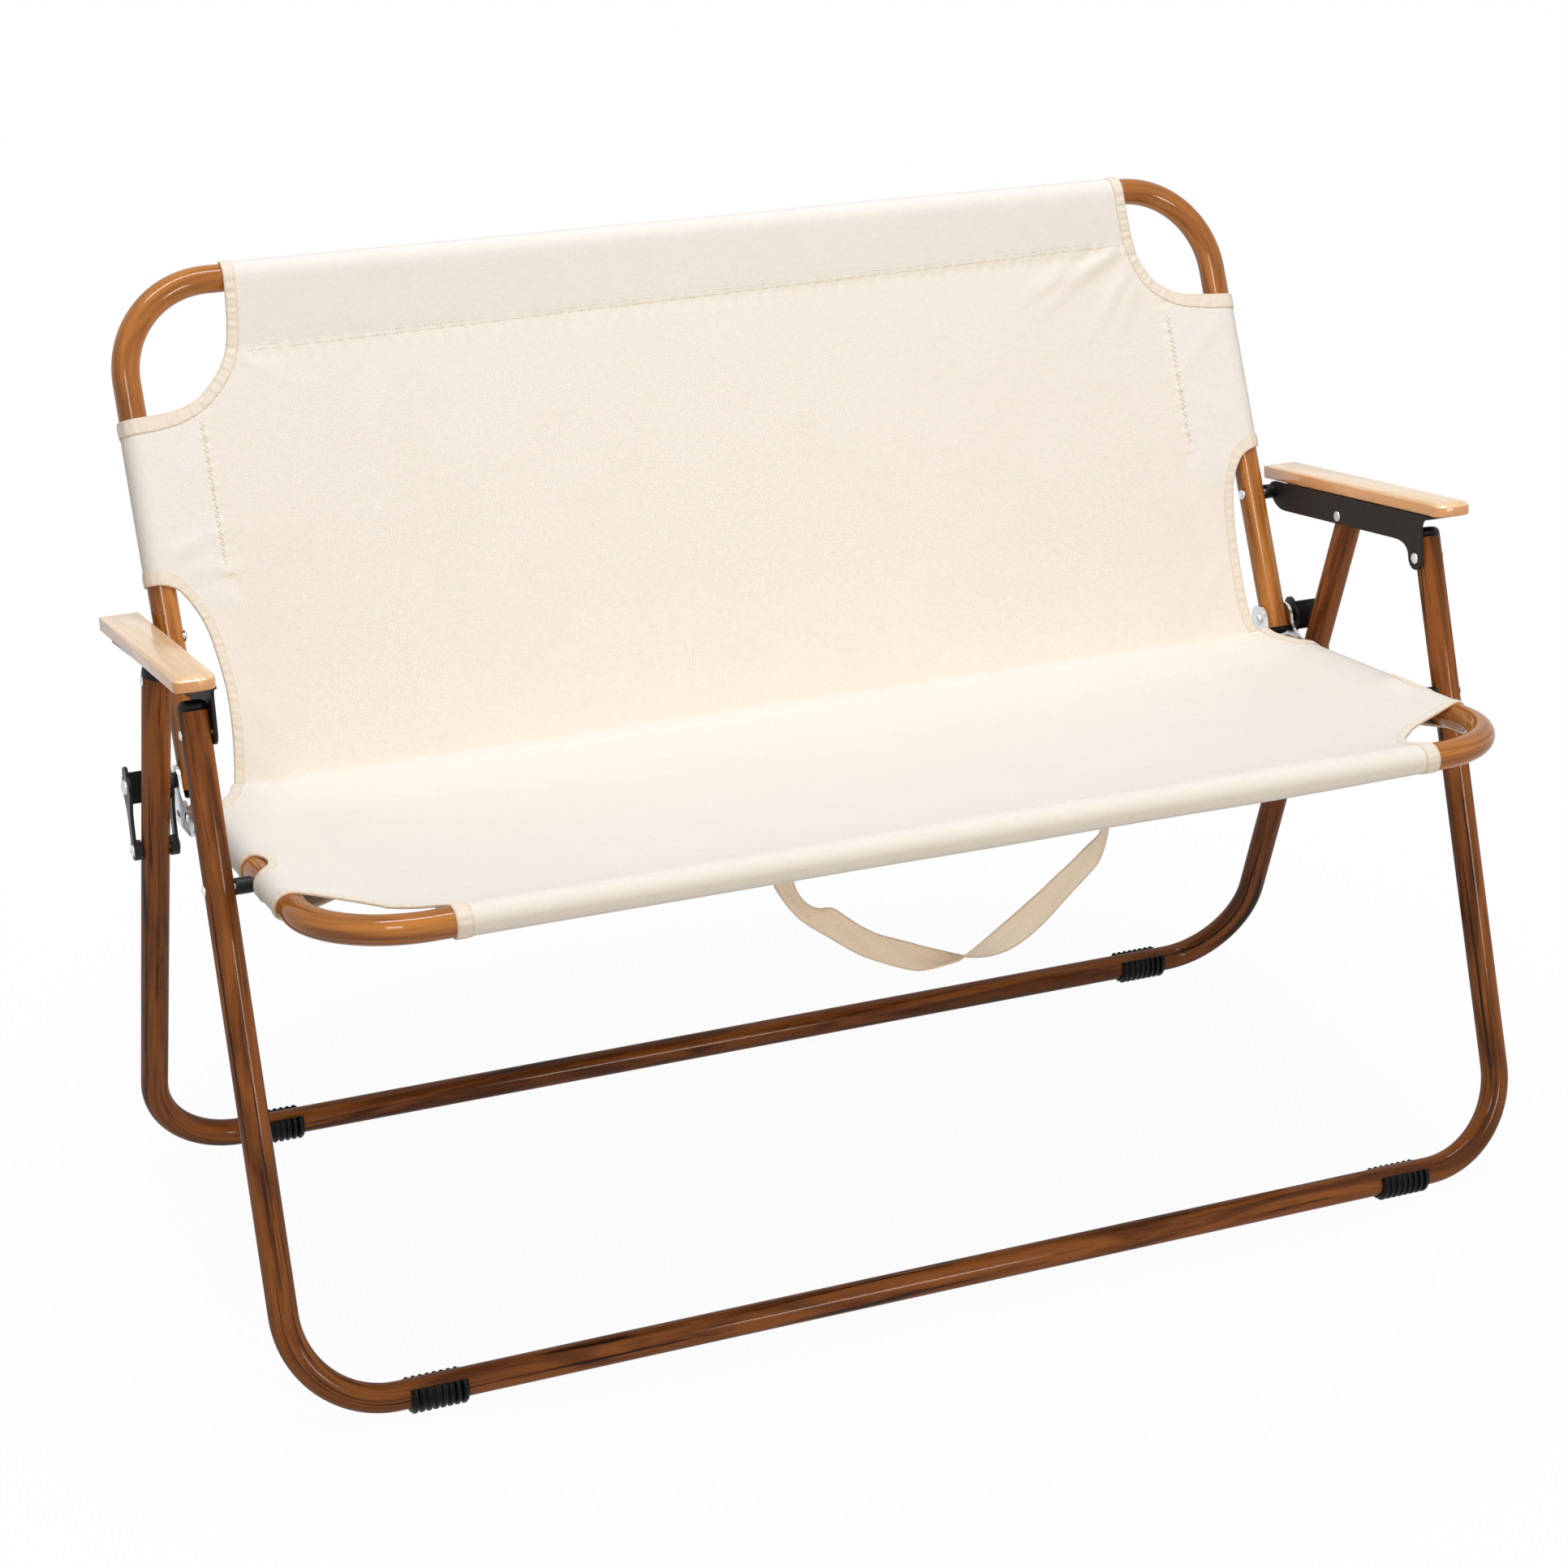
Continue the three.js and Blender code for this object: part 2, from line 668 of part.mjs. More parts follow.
/** A slot with round ends, centred on a point and lying along the first axis. */
function slotPath(centreU, centreV, length, width) {
  const half = (length - width) / 2;
  const path = new THREE.Path();
  path.absarc(centreU + half, centreV, width / 2, -Math.PI / 2, Math.PI / 2, false);
  path.absarc(centreU - half, centreV, width / 2, Math.PI / 2, 1.5 * Math.PI, false);
  return path;
}

/** One hinge bracket: two cheeks and the web under the seat tube's tail. */
function hingeBracket(side, pin) {
  const outline = zincOutline(pin, seatTail);
  const [outerFrom, outerTo] = sideRange(side, zincOuterFaceX, zincOuterFaceX + plateThickness);
  const [innerFrom, innerTo] = sideRange(side, zincInnerFaceX - plateThickness, zincInnerFaceX);
  const [webFrom, webTo] = sideRange(side, zincInnerFaceX - cutOverrun, zincOuterFaceX + cutOverrun);
  const length = zincFront + zincBack - zincLobeRadius;
  const web = new THREE.BoxGeometry(webTo - webFrom, length, plateThickness);
  web.translate((webFrom + webTo) / 2, seatTail - zincFront + length / 2,
    -(tubeRadius + fit + plateThickness / 2));
  return join(plate(outline, outerFrom, outerTo), plate(outline, innerFrom, innerTo), web);
}

/** The hinges between seat and backrest, with their bolts, spacers and rivets. */
function buildHinges(chair) {
  const group = tiltedGroup(seatPivot, -seatTilt);
  const pin = toFrame(hinge, seatPivot, -seatTilt);
  const innerFace = zincInnerFaceX - plateThickness;
  const outerFace = zincOuterFaceX + plateThickness;
  const linkFace = linkInnerFaceX - plateThickness;
  for (const [label, side] of sides) {
    place(group, `hinge_bracket_${label}`, hingeBracket(side, pin), materials.zincSteel);
  }
  placePins(group, 'hinge_bolt', pinProfile(innerFace - fit, linkFace - fit, hingeHead, null),
    materials.zincSteel, pin);
  placePins(group, 'hinge_spacer', spacerProfile(outerFace + fit, linkFace - fit),
    materials.blackPlastic, pin);
  placePins(group, 'hinge_rivet', pinProfile(innerFace - fit, outerFace + fit, rivetHead, rivetHead),
    materials.zincSteel, new THREE.Vector2(seatTail - tailRivetInset, 0));
  chair.add(group);
}

/** Outline of one strap of the saddle link, in a frame laid from leg pin to hinge. */
function linkOutline(length) {
  const knob = length + linkKnobReach;
  const half = linkStrapWidth / 2;
  const wide = linkHeadWidth / 2;
  const lean = Math.asin(half / linkBossRadius);
  const shape = new THREE.Shape();
  shape.absarc(0, 0, linkBossRadius, Math.PI / 2 + lean, 2.5 * Math.PI - lean, false);
  shape.lineTo(half, linkHeadStart);
  shape.bezierCurveTo(half, length - wide, wide, length - wide, wide, length);
  shape.quadraticCurveTo(wide, knob - half, linkKnobRadius, knob);
  shape.absarc(0, knob, linkKnobRadius, 0, Math.PI, false);
  shape.quadraticCurveTo(-wide, knob - half, -wide, length);
  shape.bezierCurveTo(-wide, length - wide, -half, length - wide, -half, linkHeadStart);
  shape.holes.push(new THREE.Path(circlePoints(boreRadius, pinSides, 0, 0)));
  shape.holes.push(new THREE.Path(circlePoints(boreRadius, pinSides, 0, length)));
  return shape;
}

/** A boss that stands a strap off the leg. */
function linkBoss(side, fromX, toX) {
  return turned(ringProfile(linkBossRadius, fromX, toX), side);
}

/** Where the web's front face lies, a set gap behind the leg at the web's lower edge. */
function linkWebFace(tilt, length) {
  const lean = tiltTowards(linkPivot, rearPivot) - tilt;
  return (tubeRadius + linkWebGap) / Math.cos(lean) - (length - linkWebBelow) * Math.tan(lean);
}

/** One saddle link: two straps, two bosses and the web behind the leg. */
function saddleLink(side, length, webFace) {
  const outline = linkOutline(length);
  const inner = sideRange(side, linkInnerFaceX - plateThickness, linkInnerFaceX);
  const outer = sideRange(side, linkOuterFaceX, linkOuterFaceX + plateThickness);
  const [webFrom, webTo] = sideRange(side, linkInnerFaceX - cutOverrun, linkOuterFaceX + cutOverrun);
  const height = linkWebBelow + linkWebAbove;
  const web = new THREE.BoxGeometry(webTo - webFrom, linkWebThickness, height);
  web.translate((webFrom + webTo) / 2, linkWebThickness / 2 + webFace,
    length - linkWebBelow + height / 2);
  return join(
    plate(outline, ...inner, linkCurveSteps),
    plate(outline, ...outer, linkCurveSteps),
    linkBoss(side, linkInnerFaceX - cutOverrun, legInnerX - fit),
    linkBoss(side, legOuterX + fit, linkOuterFaceX + cutOverrun),
    web,
  );
}

/** The saddle links with the rivets through the rear legs and the hinge's outer bolts. */
function buildLinks(chair) {
  const tilt = tiltTowards(linkPivot, hinge);
  const length = linkPivot.distanceTo(hinge);
  const webFace = linkWebFace(tilt, length);
  const group = tiltedGroup(linkPivot, tilt);
  const innerFace = linkInnerFaceX - plateThickness;
  const outerFace = linkOuterFaceX + plateThickness;
  for (const [label, side] of sides) {
    place(group, `saddle_link_${label}`, saddleLink(side, length, webFace), materials.blackSteel);
  }
  placePins(group, 'link_rivet', pinProfile(innerFace - fit, outerFace + fit, rivetHead, rivetHead),
    materials.zincSteel, new THREE.Vector2());
  placePins(group, 'link_bolt', pinProfile(innerFace, outerFace + fit, null, hingeHead),
    materials.zincSteel, new THREE.Vector2(0, length));
  chair.add(group);
}

/** The backrest's U of tube and the caps on its lower ends. */
function buildBackFrame(chair) {
  const tilt = tiltTowards(backBar, backFoot);
  const group = tiltedGroup(backBar, tilt);
  const bores = [hinge, backPivot].map((point) => toFrame(point, backBar, tilt));
  place(group, 'backrest_frame', tubeFrame(frameX, backLength + backTail, bores), materials.frameFilm);
  placeCaps(group, 'backrest_cap', frameX, backLength + backTail, backCapHeight);
  chair.add(group);
}

/** The pins that join legs, armrests, backrest and seat. */
function buildPivots(chair) {
  const legRivet = pinProfile(bracketInnerX - fit, legOuterX + fit, rivetHead, rivetHead);
  const seatBolt = pinProfile(frameInnerX - fit, legOuterX + fit, boltHead, boltHead);
  const backBolt = pinProfile(frameInnerX - fit, bracketInnerX - fit, boltHead, null);
  placePins(chair, 'front_leg_rivet', legRivet, materials.zincSteel, frontPivot);
  placePins(chair, 'rear_leg_rivet', legRivet, materials.zincSteel, rearPivot);
  placePins(chair, 'seat_bolt', seatBolt, materials.zincSteel, seatPivot);
  placePins(chair, 'seat_spacer', spacerProfile(frameOuterX + fit, legInnerX - fit),
    materials.blackPlastic, seatPivot);
  placePins(chair, 'back_bolt', backBolt, materials.zincSteel, backPivot);
  placePins(chair, 'back_spacer', spacerProfile(frameOuterX + fit, bracketInnerX - fit),
    materials.blackPlastic, backPivot);
}

/** Section of a sleeve: a ring whose two layers come together at the seam. */
function sleeveSection(reach) {
  const touch = Math.acos(sleeveRadius / reach);
  const shape = new THREE.Shape();
  shape.moveTo(-reach, -clothHalf);
  shape.absarc(0, 0, sleeveRadius, touch - Math.PI, Math.PI - touch, false);
  shape.lineTo(-reach, clothHalf);
  shape.holes.push(new THREE.Path(circlePoints(sleeveBore, tubeSides)));
  return shape;
}

/** A straight length of sleeve, its seam towards the negative first axis. */
function sleeveTube(reach, depth) {
  const settings = { depth, bevelEnabled: false, curveSegments: sleeveCurveSteps };
  return new THREE.ExtrudeGeometry(sleeveSection(reach), settings);
}

/** A sleeve along the tube frame's own Z, round one of its two legs. */
function legSleeve(side, reach, fromZ, toZ) {
  const sleeve = sleeveTube(reach, toZ - fromZ);
  if (side < 0) sleeve.rotateZ(Math.PI);
  return sleeve.translate(side * frameX, 0, fromZ);
}

/** A sleeve along X round the cross bar, its seam on the legs' side. */
function barSleeve(reach, half) {
  const sleeve = sleeveTube(reach, 2 * half);
  const turn = new THREE.Matrix4().makeBasis(
    new THREE.Vector3(0, 0, -1), new THREE.Vector3(0, -1, 0), new THREE.Vector3(-1, 0, 0));
  return sleeve.applyMatrix4(turn).translate(half, 0, 0);
}

/** Extrudes an outline drawn in the frame's XZ plane through a thickness along Y. */
function sheet(shape, halfThickness) {
  const depth = 2 * halfThickness;
  const settings = { depth, bevelEnabled: false, curveSegments: panelCurveSteps };
  const geometry = new THREE.ExtrudeGeometry(shape, settings);
  return geometry.rotateX(Math.PI / 2).translate(0, halfThickness, 0);
}

/** Mirrors half an outline about the middle and closes it. */
function mirroredShape(half) {
  const points = half.getPoints(panelCurveSteps);
  const other = points.map((point) => new THREE.Vector2(-point.x, point.y)).reverse();
  return new THREE.Shape([...points, ...other]);
}

/** The back canvas: panel, top sleeve and the two wings round the side tubes. */
function backCanvas() {
  const down = (height) => backLength - height;
  const wingX = frameX - sleeveReach + clothThickness;
  const half = new THREE.Path();
  half.moveTo(topSleeveHalf, topSleeveReach - sleeveLap / 2);
  half.lineTo(wingNotchX, topSleeveReach);
  half.bezierCurveTo(wingNotchX, down(wingTop) - tubeRadius, wingX, down(wingTop),
    wingX + clothThickness, down(wingTop));
  half.lineTo(wingX + sleeveLap / 2, down(wingTop));
  half.lineTo(wingX + sleeveLap / 2, down(wingBottom));
  half.bezierCurveTo(waistX, down(wingBottom), waistX, down(wingBottom), waistX, down(waistHeight));
  half.quadraticCurveTo(waistX, down(backHem) - tubeRadius, backHemX, down(backHem));
  return join(
    sheet(mirroredShape(half), clothHalf),
    barSleeve(topSleeveReach, topSleeveHalf),
    legSleeve(-1, sleeveReach, down(wingTop), down(wingBottom)),
    legSleeve(1, sleeveReach, down(wingTop), down(wingBottom)),
  );
}

/** The seat canvas in the seat frame: its sleeves leave the pivot and the corners free. */
function seatCanvas() {
  const behind = (distance) => seatReach + distance;
  const tilt = tiltTowards(seatBar, seatPivot);
  const crease = toFrame(backFoot.clone().addScaledVector(backUp, backHem), seatBar, tilt);
  const end = crease.y - clothThickness;
  const sleeveX = frameX - sleeveReach + sleeveLap;
  const half = new THREE.Path();
  half.moveTo(frontSleeveHalf, tubeRadius + clothThickness);
  half.lineTo(cornerX, behind(-cornerAhead));
  half.quadraticCurveTo(cornerX + tubeRadius, behind(-cornerAhead) + tubeDiameter,
    sleeveX, behind(-seatSleeveFront));
  half.lineTo(sleeveX, behind(-pivotNotchHalf));
  half.lineTo(notchX - tubeRadius, behind(-pivotNotchHalf) + tubeRadius);
  half.lineTo(notchX - tubeRadius, behind(pivotNotchHalf) - tubeRadius);
  half.lineTo(sleeveX, behind(pivotNotchHalf));
  half.lineTo(sleeveX, behind(seatSleeveRear));
  half.lineTo(creaseX, behind(seatSleeveRear) + tubeDiameter);
  half.lineTo(creaseX, end);
  const plan = sheet(mirroredShape(half), tubeDiameter);
  const side = new THREE.Shape();
  side.moveTo(-clothHalf, 0);
  side.lineTo(-clothHalf, end - creaseRiseLength);
  side.lineTo(-clothHalf - creaseRise, end + clothThickness);
  side.lineTo(clothHalf - creaseRise, end + clothThickness);
  side.lineTo(clothHalf, end - creaseRiseLength);
  side.lineTo(clothHalf, 0);
  const panel = toGeometry(toSolid(plate(side, -frameX, frameX)).intersect(toSolid(plan)));
  const legSleeves = sides.flatMap(([, sign]) => [
    legSleeve(sign, sleeveReach, behind(-seatSleeveFront), behind(-pivotNotchHalf)),
    legSleeve(sign, sleeveReach, behind(pivotNotchHalf), behind(seatSleeveRear)),
  ]);
  return join(panel, barSleeve(frontSleeveReach, frontSleeveHalf), ...legSleeves);
}

/** The carry strap: a ribbon of webbing hanging in a loose loop. */
function carryStrap() {
  const centre = new THREE.SplineCurve(strapShares.map(([x, drop]) =>
    new THREE.Vector2(x * strapHalf, strapTopZ - drop * strapDrop)));
  const upper = [];
  const lower = [];
  for (let i = 0; i <= strapSteps; i += 1) {
    const point = centre.getPoint(i / strapSteps);
    const heading = centre.getTangent(i / strapSteps);
    const across = new THREE.Vector2(-heading.y, heading.x).multiplyScalar(strapThickness / 2);
    upper.push(point.clone().add(across));
    lower.unshift(point.clone().sub(across));
  }
  const ribbon = new THREE.ExtrudeGeometry(new THREE.Shape([...upper, ...lower]),
    { depth: strapWidth, bevelEnabled: false });
  return ribbon.rotateX(Math.PI / 2).translate(0, strapWidth / 2, 0);
}

/** The sling: back canvas, seat canvas and carry strap. */
function buildCanvas(chair) {
  const back = tiltedGroup(backBar, tiltTowards(backBar, backFoot));
  const seat = tiltedGroup(seatBar, tiltTowards(seatBar, seatPivot));
  place(back, 'back_canvas', backCanvas(), materials.canvas);
  place(seat, 'seat_canvas', seatCanvas(), materials.canvas);
  place(chair, 'carry_strap', carryStrap(), materials.webbing, 0, strapY, 0);
  chair.add(back, seat);
}

/** The whole bench, centred front to back on its outline. */
function buildChair() {
  const chair = new THREE.Group();
  buildLegs(chair, 'front_leg', frontBar, [frontPivot, seatPivot], frontLegOverhang, frontCapHeight);
  buildLegs(chair, 'rear_leg', rearBar, [rearPivot, linkPivot], rearLegOverhang, rearCapHeight);
  buildFeet(chair);
  buildArmrests(chair);
  buildSeatFrame(chair);
  buildHinges(chair);
  buildLinks(chair);
  buildBackFrame(chair);
  buildPivots(chair);
  buildCanvas(chair);
  const front = seatBar.x - sleeveRadius;
  const back = backBar.x + sleeveRadius;
  chair.position.y = -(front + back) / 2;
  return chair;
}

export default buildChair();
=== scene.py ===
"""Folding two-seat camping bench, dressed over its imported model.

Metres throughout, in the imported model's frame: X across the bench, Y from the
seat's front towards the backrest, Z up from the ground.
"""

import json
import logging
import math
from dataclasses import dataclass, field
from enum import Enum
from typing import Callable, Sequence

import bmesh
import bpy
import numpy as np
from mathutils import Matrix, Vector
from mathutils.geometry import delaunay_2d_cdt

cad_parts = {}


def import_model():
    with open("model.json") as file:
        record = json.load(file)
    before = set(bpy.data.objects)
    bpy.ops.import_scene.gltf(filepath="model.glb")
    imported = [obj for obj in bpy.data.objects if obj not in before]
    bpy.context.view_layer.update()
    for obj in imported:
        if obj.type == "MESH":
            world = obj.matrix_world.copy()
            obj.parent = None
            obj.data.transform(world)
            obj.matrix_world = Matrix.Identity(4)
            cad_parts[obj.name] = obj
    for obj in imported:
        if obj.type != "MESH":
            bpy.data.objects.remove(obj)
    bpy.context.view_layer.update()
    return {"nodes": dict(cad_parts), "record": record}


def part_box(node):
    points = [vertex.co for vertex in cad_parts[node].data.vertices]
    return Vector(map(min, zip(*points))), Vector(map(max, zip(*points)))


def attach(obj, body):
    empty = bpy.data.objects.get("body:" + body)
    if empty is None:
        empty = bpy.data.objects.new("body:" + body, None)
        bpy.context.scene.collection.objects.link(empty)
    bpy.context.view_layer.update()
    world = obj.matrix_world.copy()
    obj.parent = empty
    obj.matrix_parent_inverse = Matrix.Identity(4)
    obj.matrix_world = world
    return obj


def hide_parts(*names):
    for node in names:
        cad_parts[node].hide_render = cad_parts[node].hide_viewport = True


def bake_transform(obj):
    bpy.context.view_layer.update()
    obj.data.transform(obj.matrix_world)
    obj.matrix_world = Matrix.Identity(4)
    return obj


LOG = logging.getLogger("camping_bench")
Point2 = tuple[float, float]
Point3 = tuple[float, float, float]
Rgba = tuple[float, float, float, float]
MeshData = tuple[list[Point3], list[tuple[int, ...]]]
Inputs = dict[int | str, object]

TINY = 1e-9
UV_MAP = "UVMap"
ROUGHNESS_SPREAD = 0.12


# Side view


class Side(Enum):
    """The two sides of the bench, by the sign of X."""

    LEFT = -1
    RIGHT = 1

    @property
    def label(self) -> str:
        """The word that ends a node's name on this side."""
        return self.name.lower()


@dataclass(frozen=True)
class SideView:
    """Pivots and bars of the bench seen from the side, as (y, z)."""

    tube_radius: float = 0.011
    bend_radius: float = 0.075
    frame_x: float = 0.478
    leg_x: float = 0.513
    front_bar: Point2 = (-0.2531925, 0.014)
    rear_bar: Point2 = (0.1920075, 0.014)
    front_pivot: Point2 = (-0.0765925, 0.4785)
    rear_pivot: Point2 = (0.0439075, 0.479)
    hinge: Point2 = (0.1034075, 0.3723)
    seat_pivot: Point2 = (-0.1163227, 0.374)
    seat_rise: float = math.radians(6.2)
    seat_reach: float = 0.155
    seat_tail: float = 0.197
    back_lean: float = math.radians(26.1)
    back_length: float = 0.3837
    back_tail: float = 0.0095
    hinge_setback: float = 0.002
    arm_slope: float = math.radians(8.94)

    @property
    def seat_forward(self) -> np.ndarray:
        """Direction along the seat tubes, towards the front."""
        return np.array([-math.cos(self.seat_rise), math.sin(self.seat_rise)])

    @property
    def seat_up(self) -> np.ndarray:
        """Direction square to the seat, upwards."""
        return np.array([math.sin(self.seat_rise), math.cos(self.seat_rise)])

    @property
    def back_up(self) -> np.ndarray:
        """Direction along the backrest tubes, upwards."""
        return np.array([math.sin(self.back_lean), math.cos(self.back_lean)])

    @property
    def back_front(self) -> np.ndarray:
        """Direction square to the backrest, towards the sitter."""
        return np.array([-math.cos(self.back_lean), math.sin(self.back_lean)])

    @property
    def back_foot(self) -> np.ndarray:
        """Axis point of a backrest tube level with the hinge."""
        return np.array(self.hinge) + self.hinge_setback * self.back_front

    @property
    def seat_bar(self) -> np.ndarray:
        """Axis point of the seat's front bar."""
        return np.array(self.seat_pivot) + self.seat_reach * self.seat_forward

    @property
    def back_bar(self) -> np.ndarray:
        """Axis point of the backrest's top bar."""
        return self.back_foot + self.back_length * self.back_up


# Mesh tools


def placed(name: str, data: bpy.types.ID) -> bpy.types.Object:
    """Makes an object from its data and links it to the scene."""
    piece = bpy.data.objects.new(name, data)
    bpy.context.scene.collection.objects.link(piece)
    return piece


def mesh_object(name: str, data: MeshData, smooth: bool = True) -> bpy.types.Object:
    """Makes an object at the origin from vertices and faces.

    Args:
        name: The piece's name.
        data: Its vertices and faces.
        smooth: Whether its faces are shaded smooth.

    Returns:
        The new object, linked to the scene.
    """
    mesh = bpy.data.meshes.new(name)
    mesh.from_pydata(data[0], [], data[1])
    mesh.polygons.foreach_set("use_smooth", [smooth] * len(mesh.polygons))
    mesh.update()
    return placed(name, mesh)


def recalculate(piece: bpy.types.Object, merge: float = 0.0) -> None:
    """Points a closed mesh's faces outwards, after merging its doubles.

    Args:
        piece: The mesh object.
        merge: Distance under which vertices are merged.
    """
    bm = bmesh.new()
    bm.from_mesh(piece.data)
    if merge > 0:
        bmesh.ops.remove_doubles(bm, verts=bm.verts, dist=merge)
    bmesh.ops.recalc_face_normals(bm, faces=bm.faces)
    bm.to_mesh(piece.data)
    bm.free()


def evaluated(piece: bpy.types.Object, name: str) -> bpy.types.Object:
    """Turns an object with live modifiers into a plain mesh object.

    Args:
        piece: The object, which is removed.
        name: The plain object's name.

    Returns:
        The plain mesh object.
    """
    bpy.context.view_layer.update()
    graph = bpy.context.evaluated_depsgraph_get()
    mesh = bpy.data.meshes.new_from_object(piece.evaluated_get(graph), depsgraph=graph)
    bpy.data.objects.remove(piece)
    mesh.name = name
    return placed(name, mesh)


def bevelled(piece: bpy.types.Object, name: str, width: float, angle: float) -> bpy.types.Object:
    """Rounds a mesh's sharp edges.

    Args:
        piece: The mesh object, which is removed.
        name: The rounded object's name.
        width: Width of the rounding.
        angle: Angle over which an edge is sharp.

    Returns:
        The rounded object.
    """
    bevel = piece.modifiers.new("round", "BEVEL")
    bevel.width = width
    bevel.segments = 2
    bevel.limit_method = "ANGLE"
    bevel.angle_limit = angle
    return evaluated(piece, name)


def joined(name: str, pieces: Sequence[bpy.types.Object]) -> bpy.types.Object:
    """Joins mesh objects at the origin into one.

    Args:
        name: The joined piece's name.
        pieces: The objects, which are removed.

    Returns:
        The joined object.
    """
    bm = bmesh.new()
    materials: list[bpy.types.Material] = []
    for piece in pieces:
        offset = len(materials)
        start = len(bm.faces)
        bm.from_mesh(piece.data)
        bm.faces.ensure_lookup_table()
        for face in bm.faces[start:]:
            face.material_index += offset
        materials.extend(piece.data.materials)
    mesh = bpy.data.meshes.new(name)
    bm.to_mesh(mesh)
    bm.free()
    for material in materials:
        mesh.materials.append(material)
    for piece in pieces:
        bpy.data.objects.remove(piece)
    return placed(name, mesh)


def lay_out(piece: bpy.types.Object, flat: np.ndarray, tint: Sequence[float]) -> None:
    """Gives a cloth piece its UV map and its tint.

    Args:
        piece: The mesh object.
        flat: Place of each vertex in the flat pattern.
        tint: Share of the cloth's second colour at each vertex.
    """
    layer = piece.data.uv_layers.new(name=UV_MAP)
    index = np.empty(len(piece.data.loops), int)
    piece.data.loops.foreach_get("vertex_index", index)
    layer.data.foreach_set("uv", flat[index].ravel())
    layer = piece.data.attributes.new("tint", "FLOAT", "POINT")
    layer.data.foreach_set("value", tint)


def band(name: str, rows: np.ndarray) -> bpy.types.Object:
    """Makes a solid band from closed sections that follow each other.

    Args:
        name: The piece's name.
        rows: The sections' points, as (section, point, coordinate).

    Returns:
        The band, closed at both ends.
    """
    length, count = rows.shape[:2]
    faces: list[tuple[int, ...]] = []
    for i in range(length - 1):
        for k in range(count):
            j = (k + 1) % count
            faces.append((i * count + k, i * count + j, (i + 1) * count + j, (i + 1) * count + k))
    faces += [tuple(range(count)), tuple((length - 1) * count + k for k in reversed(range(count)))]
    return mesh_object(name, ([tuple(p) for p in rows.reshape(-1, 3)], faces))


def lathe(profile: Sequence[Point2], sides: int = 32) -> MeshData:
    """Turns a profile about the Z axis.

    Args:
        profile: Points (radius, z) in order; a radius of 0 is a pole.
        sides: Number of sides.

    Returns:
        Vertices and faces.
    """
    rings: list[list[int]] = []
    verts: list[Point3] = []
    faces: list[tuple[int, ...]] = []
    for radius, z in profile:
        if radius < TINY:
            rings.append([len(verts)])
            verts.append((0.0, 0.0, z))
            continue
        start = len(verts)
        for i in range(sides):
            angle = 2 * math.pi * i / sides
            verts.append((radius * math.cos(angle), radius * math.sin(angle), z))
        rings.append(list(range(start, start + sides)))
    for a, b in zip(rings, rings[1:]):
        for i in range(sides):
            j = (i + 1) % sides
            if len(a) == 1 and len(b) > 1:
                faces.append((a[0], b[i], b[j]))
            elif len(b) == 1 and len(a) > 1:
                faces.append((a[i], b[0], a[j]))
            elif len(a) > 1:
                faces.append((a[i], b[i], b[j], a[j]))
    return verts, faces


def unit(rows: np.ndarray) -> np.ndarray:
    """Scales each row to a length of 1."""
    return rows / np.maximum(np.linalg.norm(rows, axis=1)[:, None], TINY)


def run_of(line: np.ndarray) -> np.ndarray:
    """Distance along a path at each of its points."""
    return np.concatenate([[0], np.cumsum(np.linalg.norm(np.diff(line, axis=0), axis=1))])


def smooth_path(points: Sequence[Sequence[float]], spacing: float) -> np.ndarray:
    """Cuts a path's corners twice and spaces its points evenly.

    Args:
        points: The path's points.
        spacing: Distance between the new points.

    Returns:
        The new points, one row each.
    """
    path = np.array(points, float)
    for _ in range(2):
        near = 0.75 * path[:-1] + 0.25 * path[1:]
        far = 0.25 * path[:-1] + 0.75 * path[1:]
        middle = np.empty((2 * len(near), path.shape[1]))
        middle[0::2], middle[1::2] = near, far
        path = np.vstack([path[:1], middle, path[-1:]])
    return resampled(path, spacing)


def resampled(path: np.ndarray, spacing: float) -> np.ndarray:
    """Spaces a path's points evenly, its ends kept.

    Args:
        path: Points, one row each.
        spacing: Distance aimed at.

    Returns:
        The new points.
    """
    run = run_of(path)
    count = max(2, int(round(run[-1] / spacing)) + 1)
    at = np.linspace(0, run[-1], count)
    return np.stack([np.interp(at, run, path[:, i]) for i in range(path.shape[1])], axis=1)


# Node tools


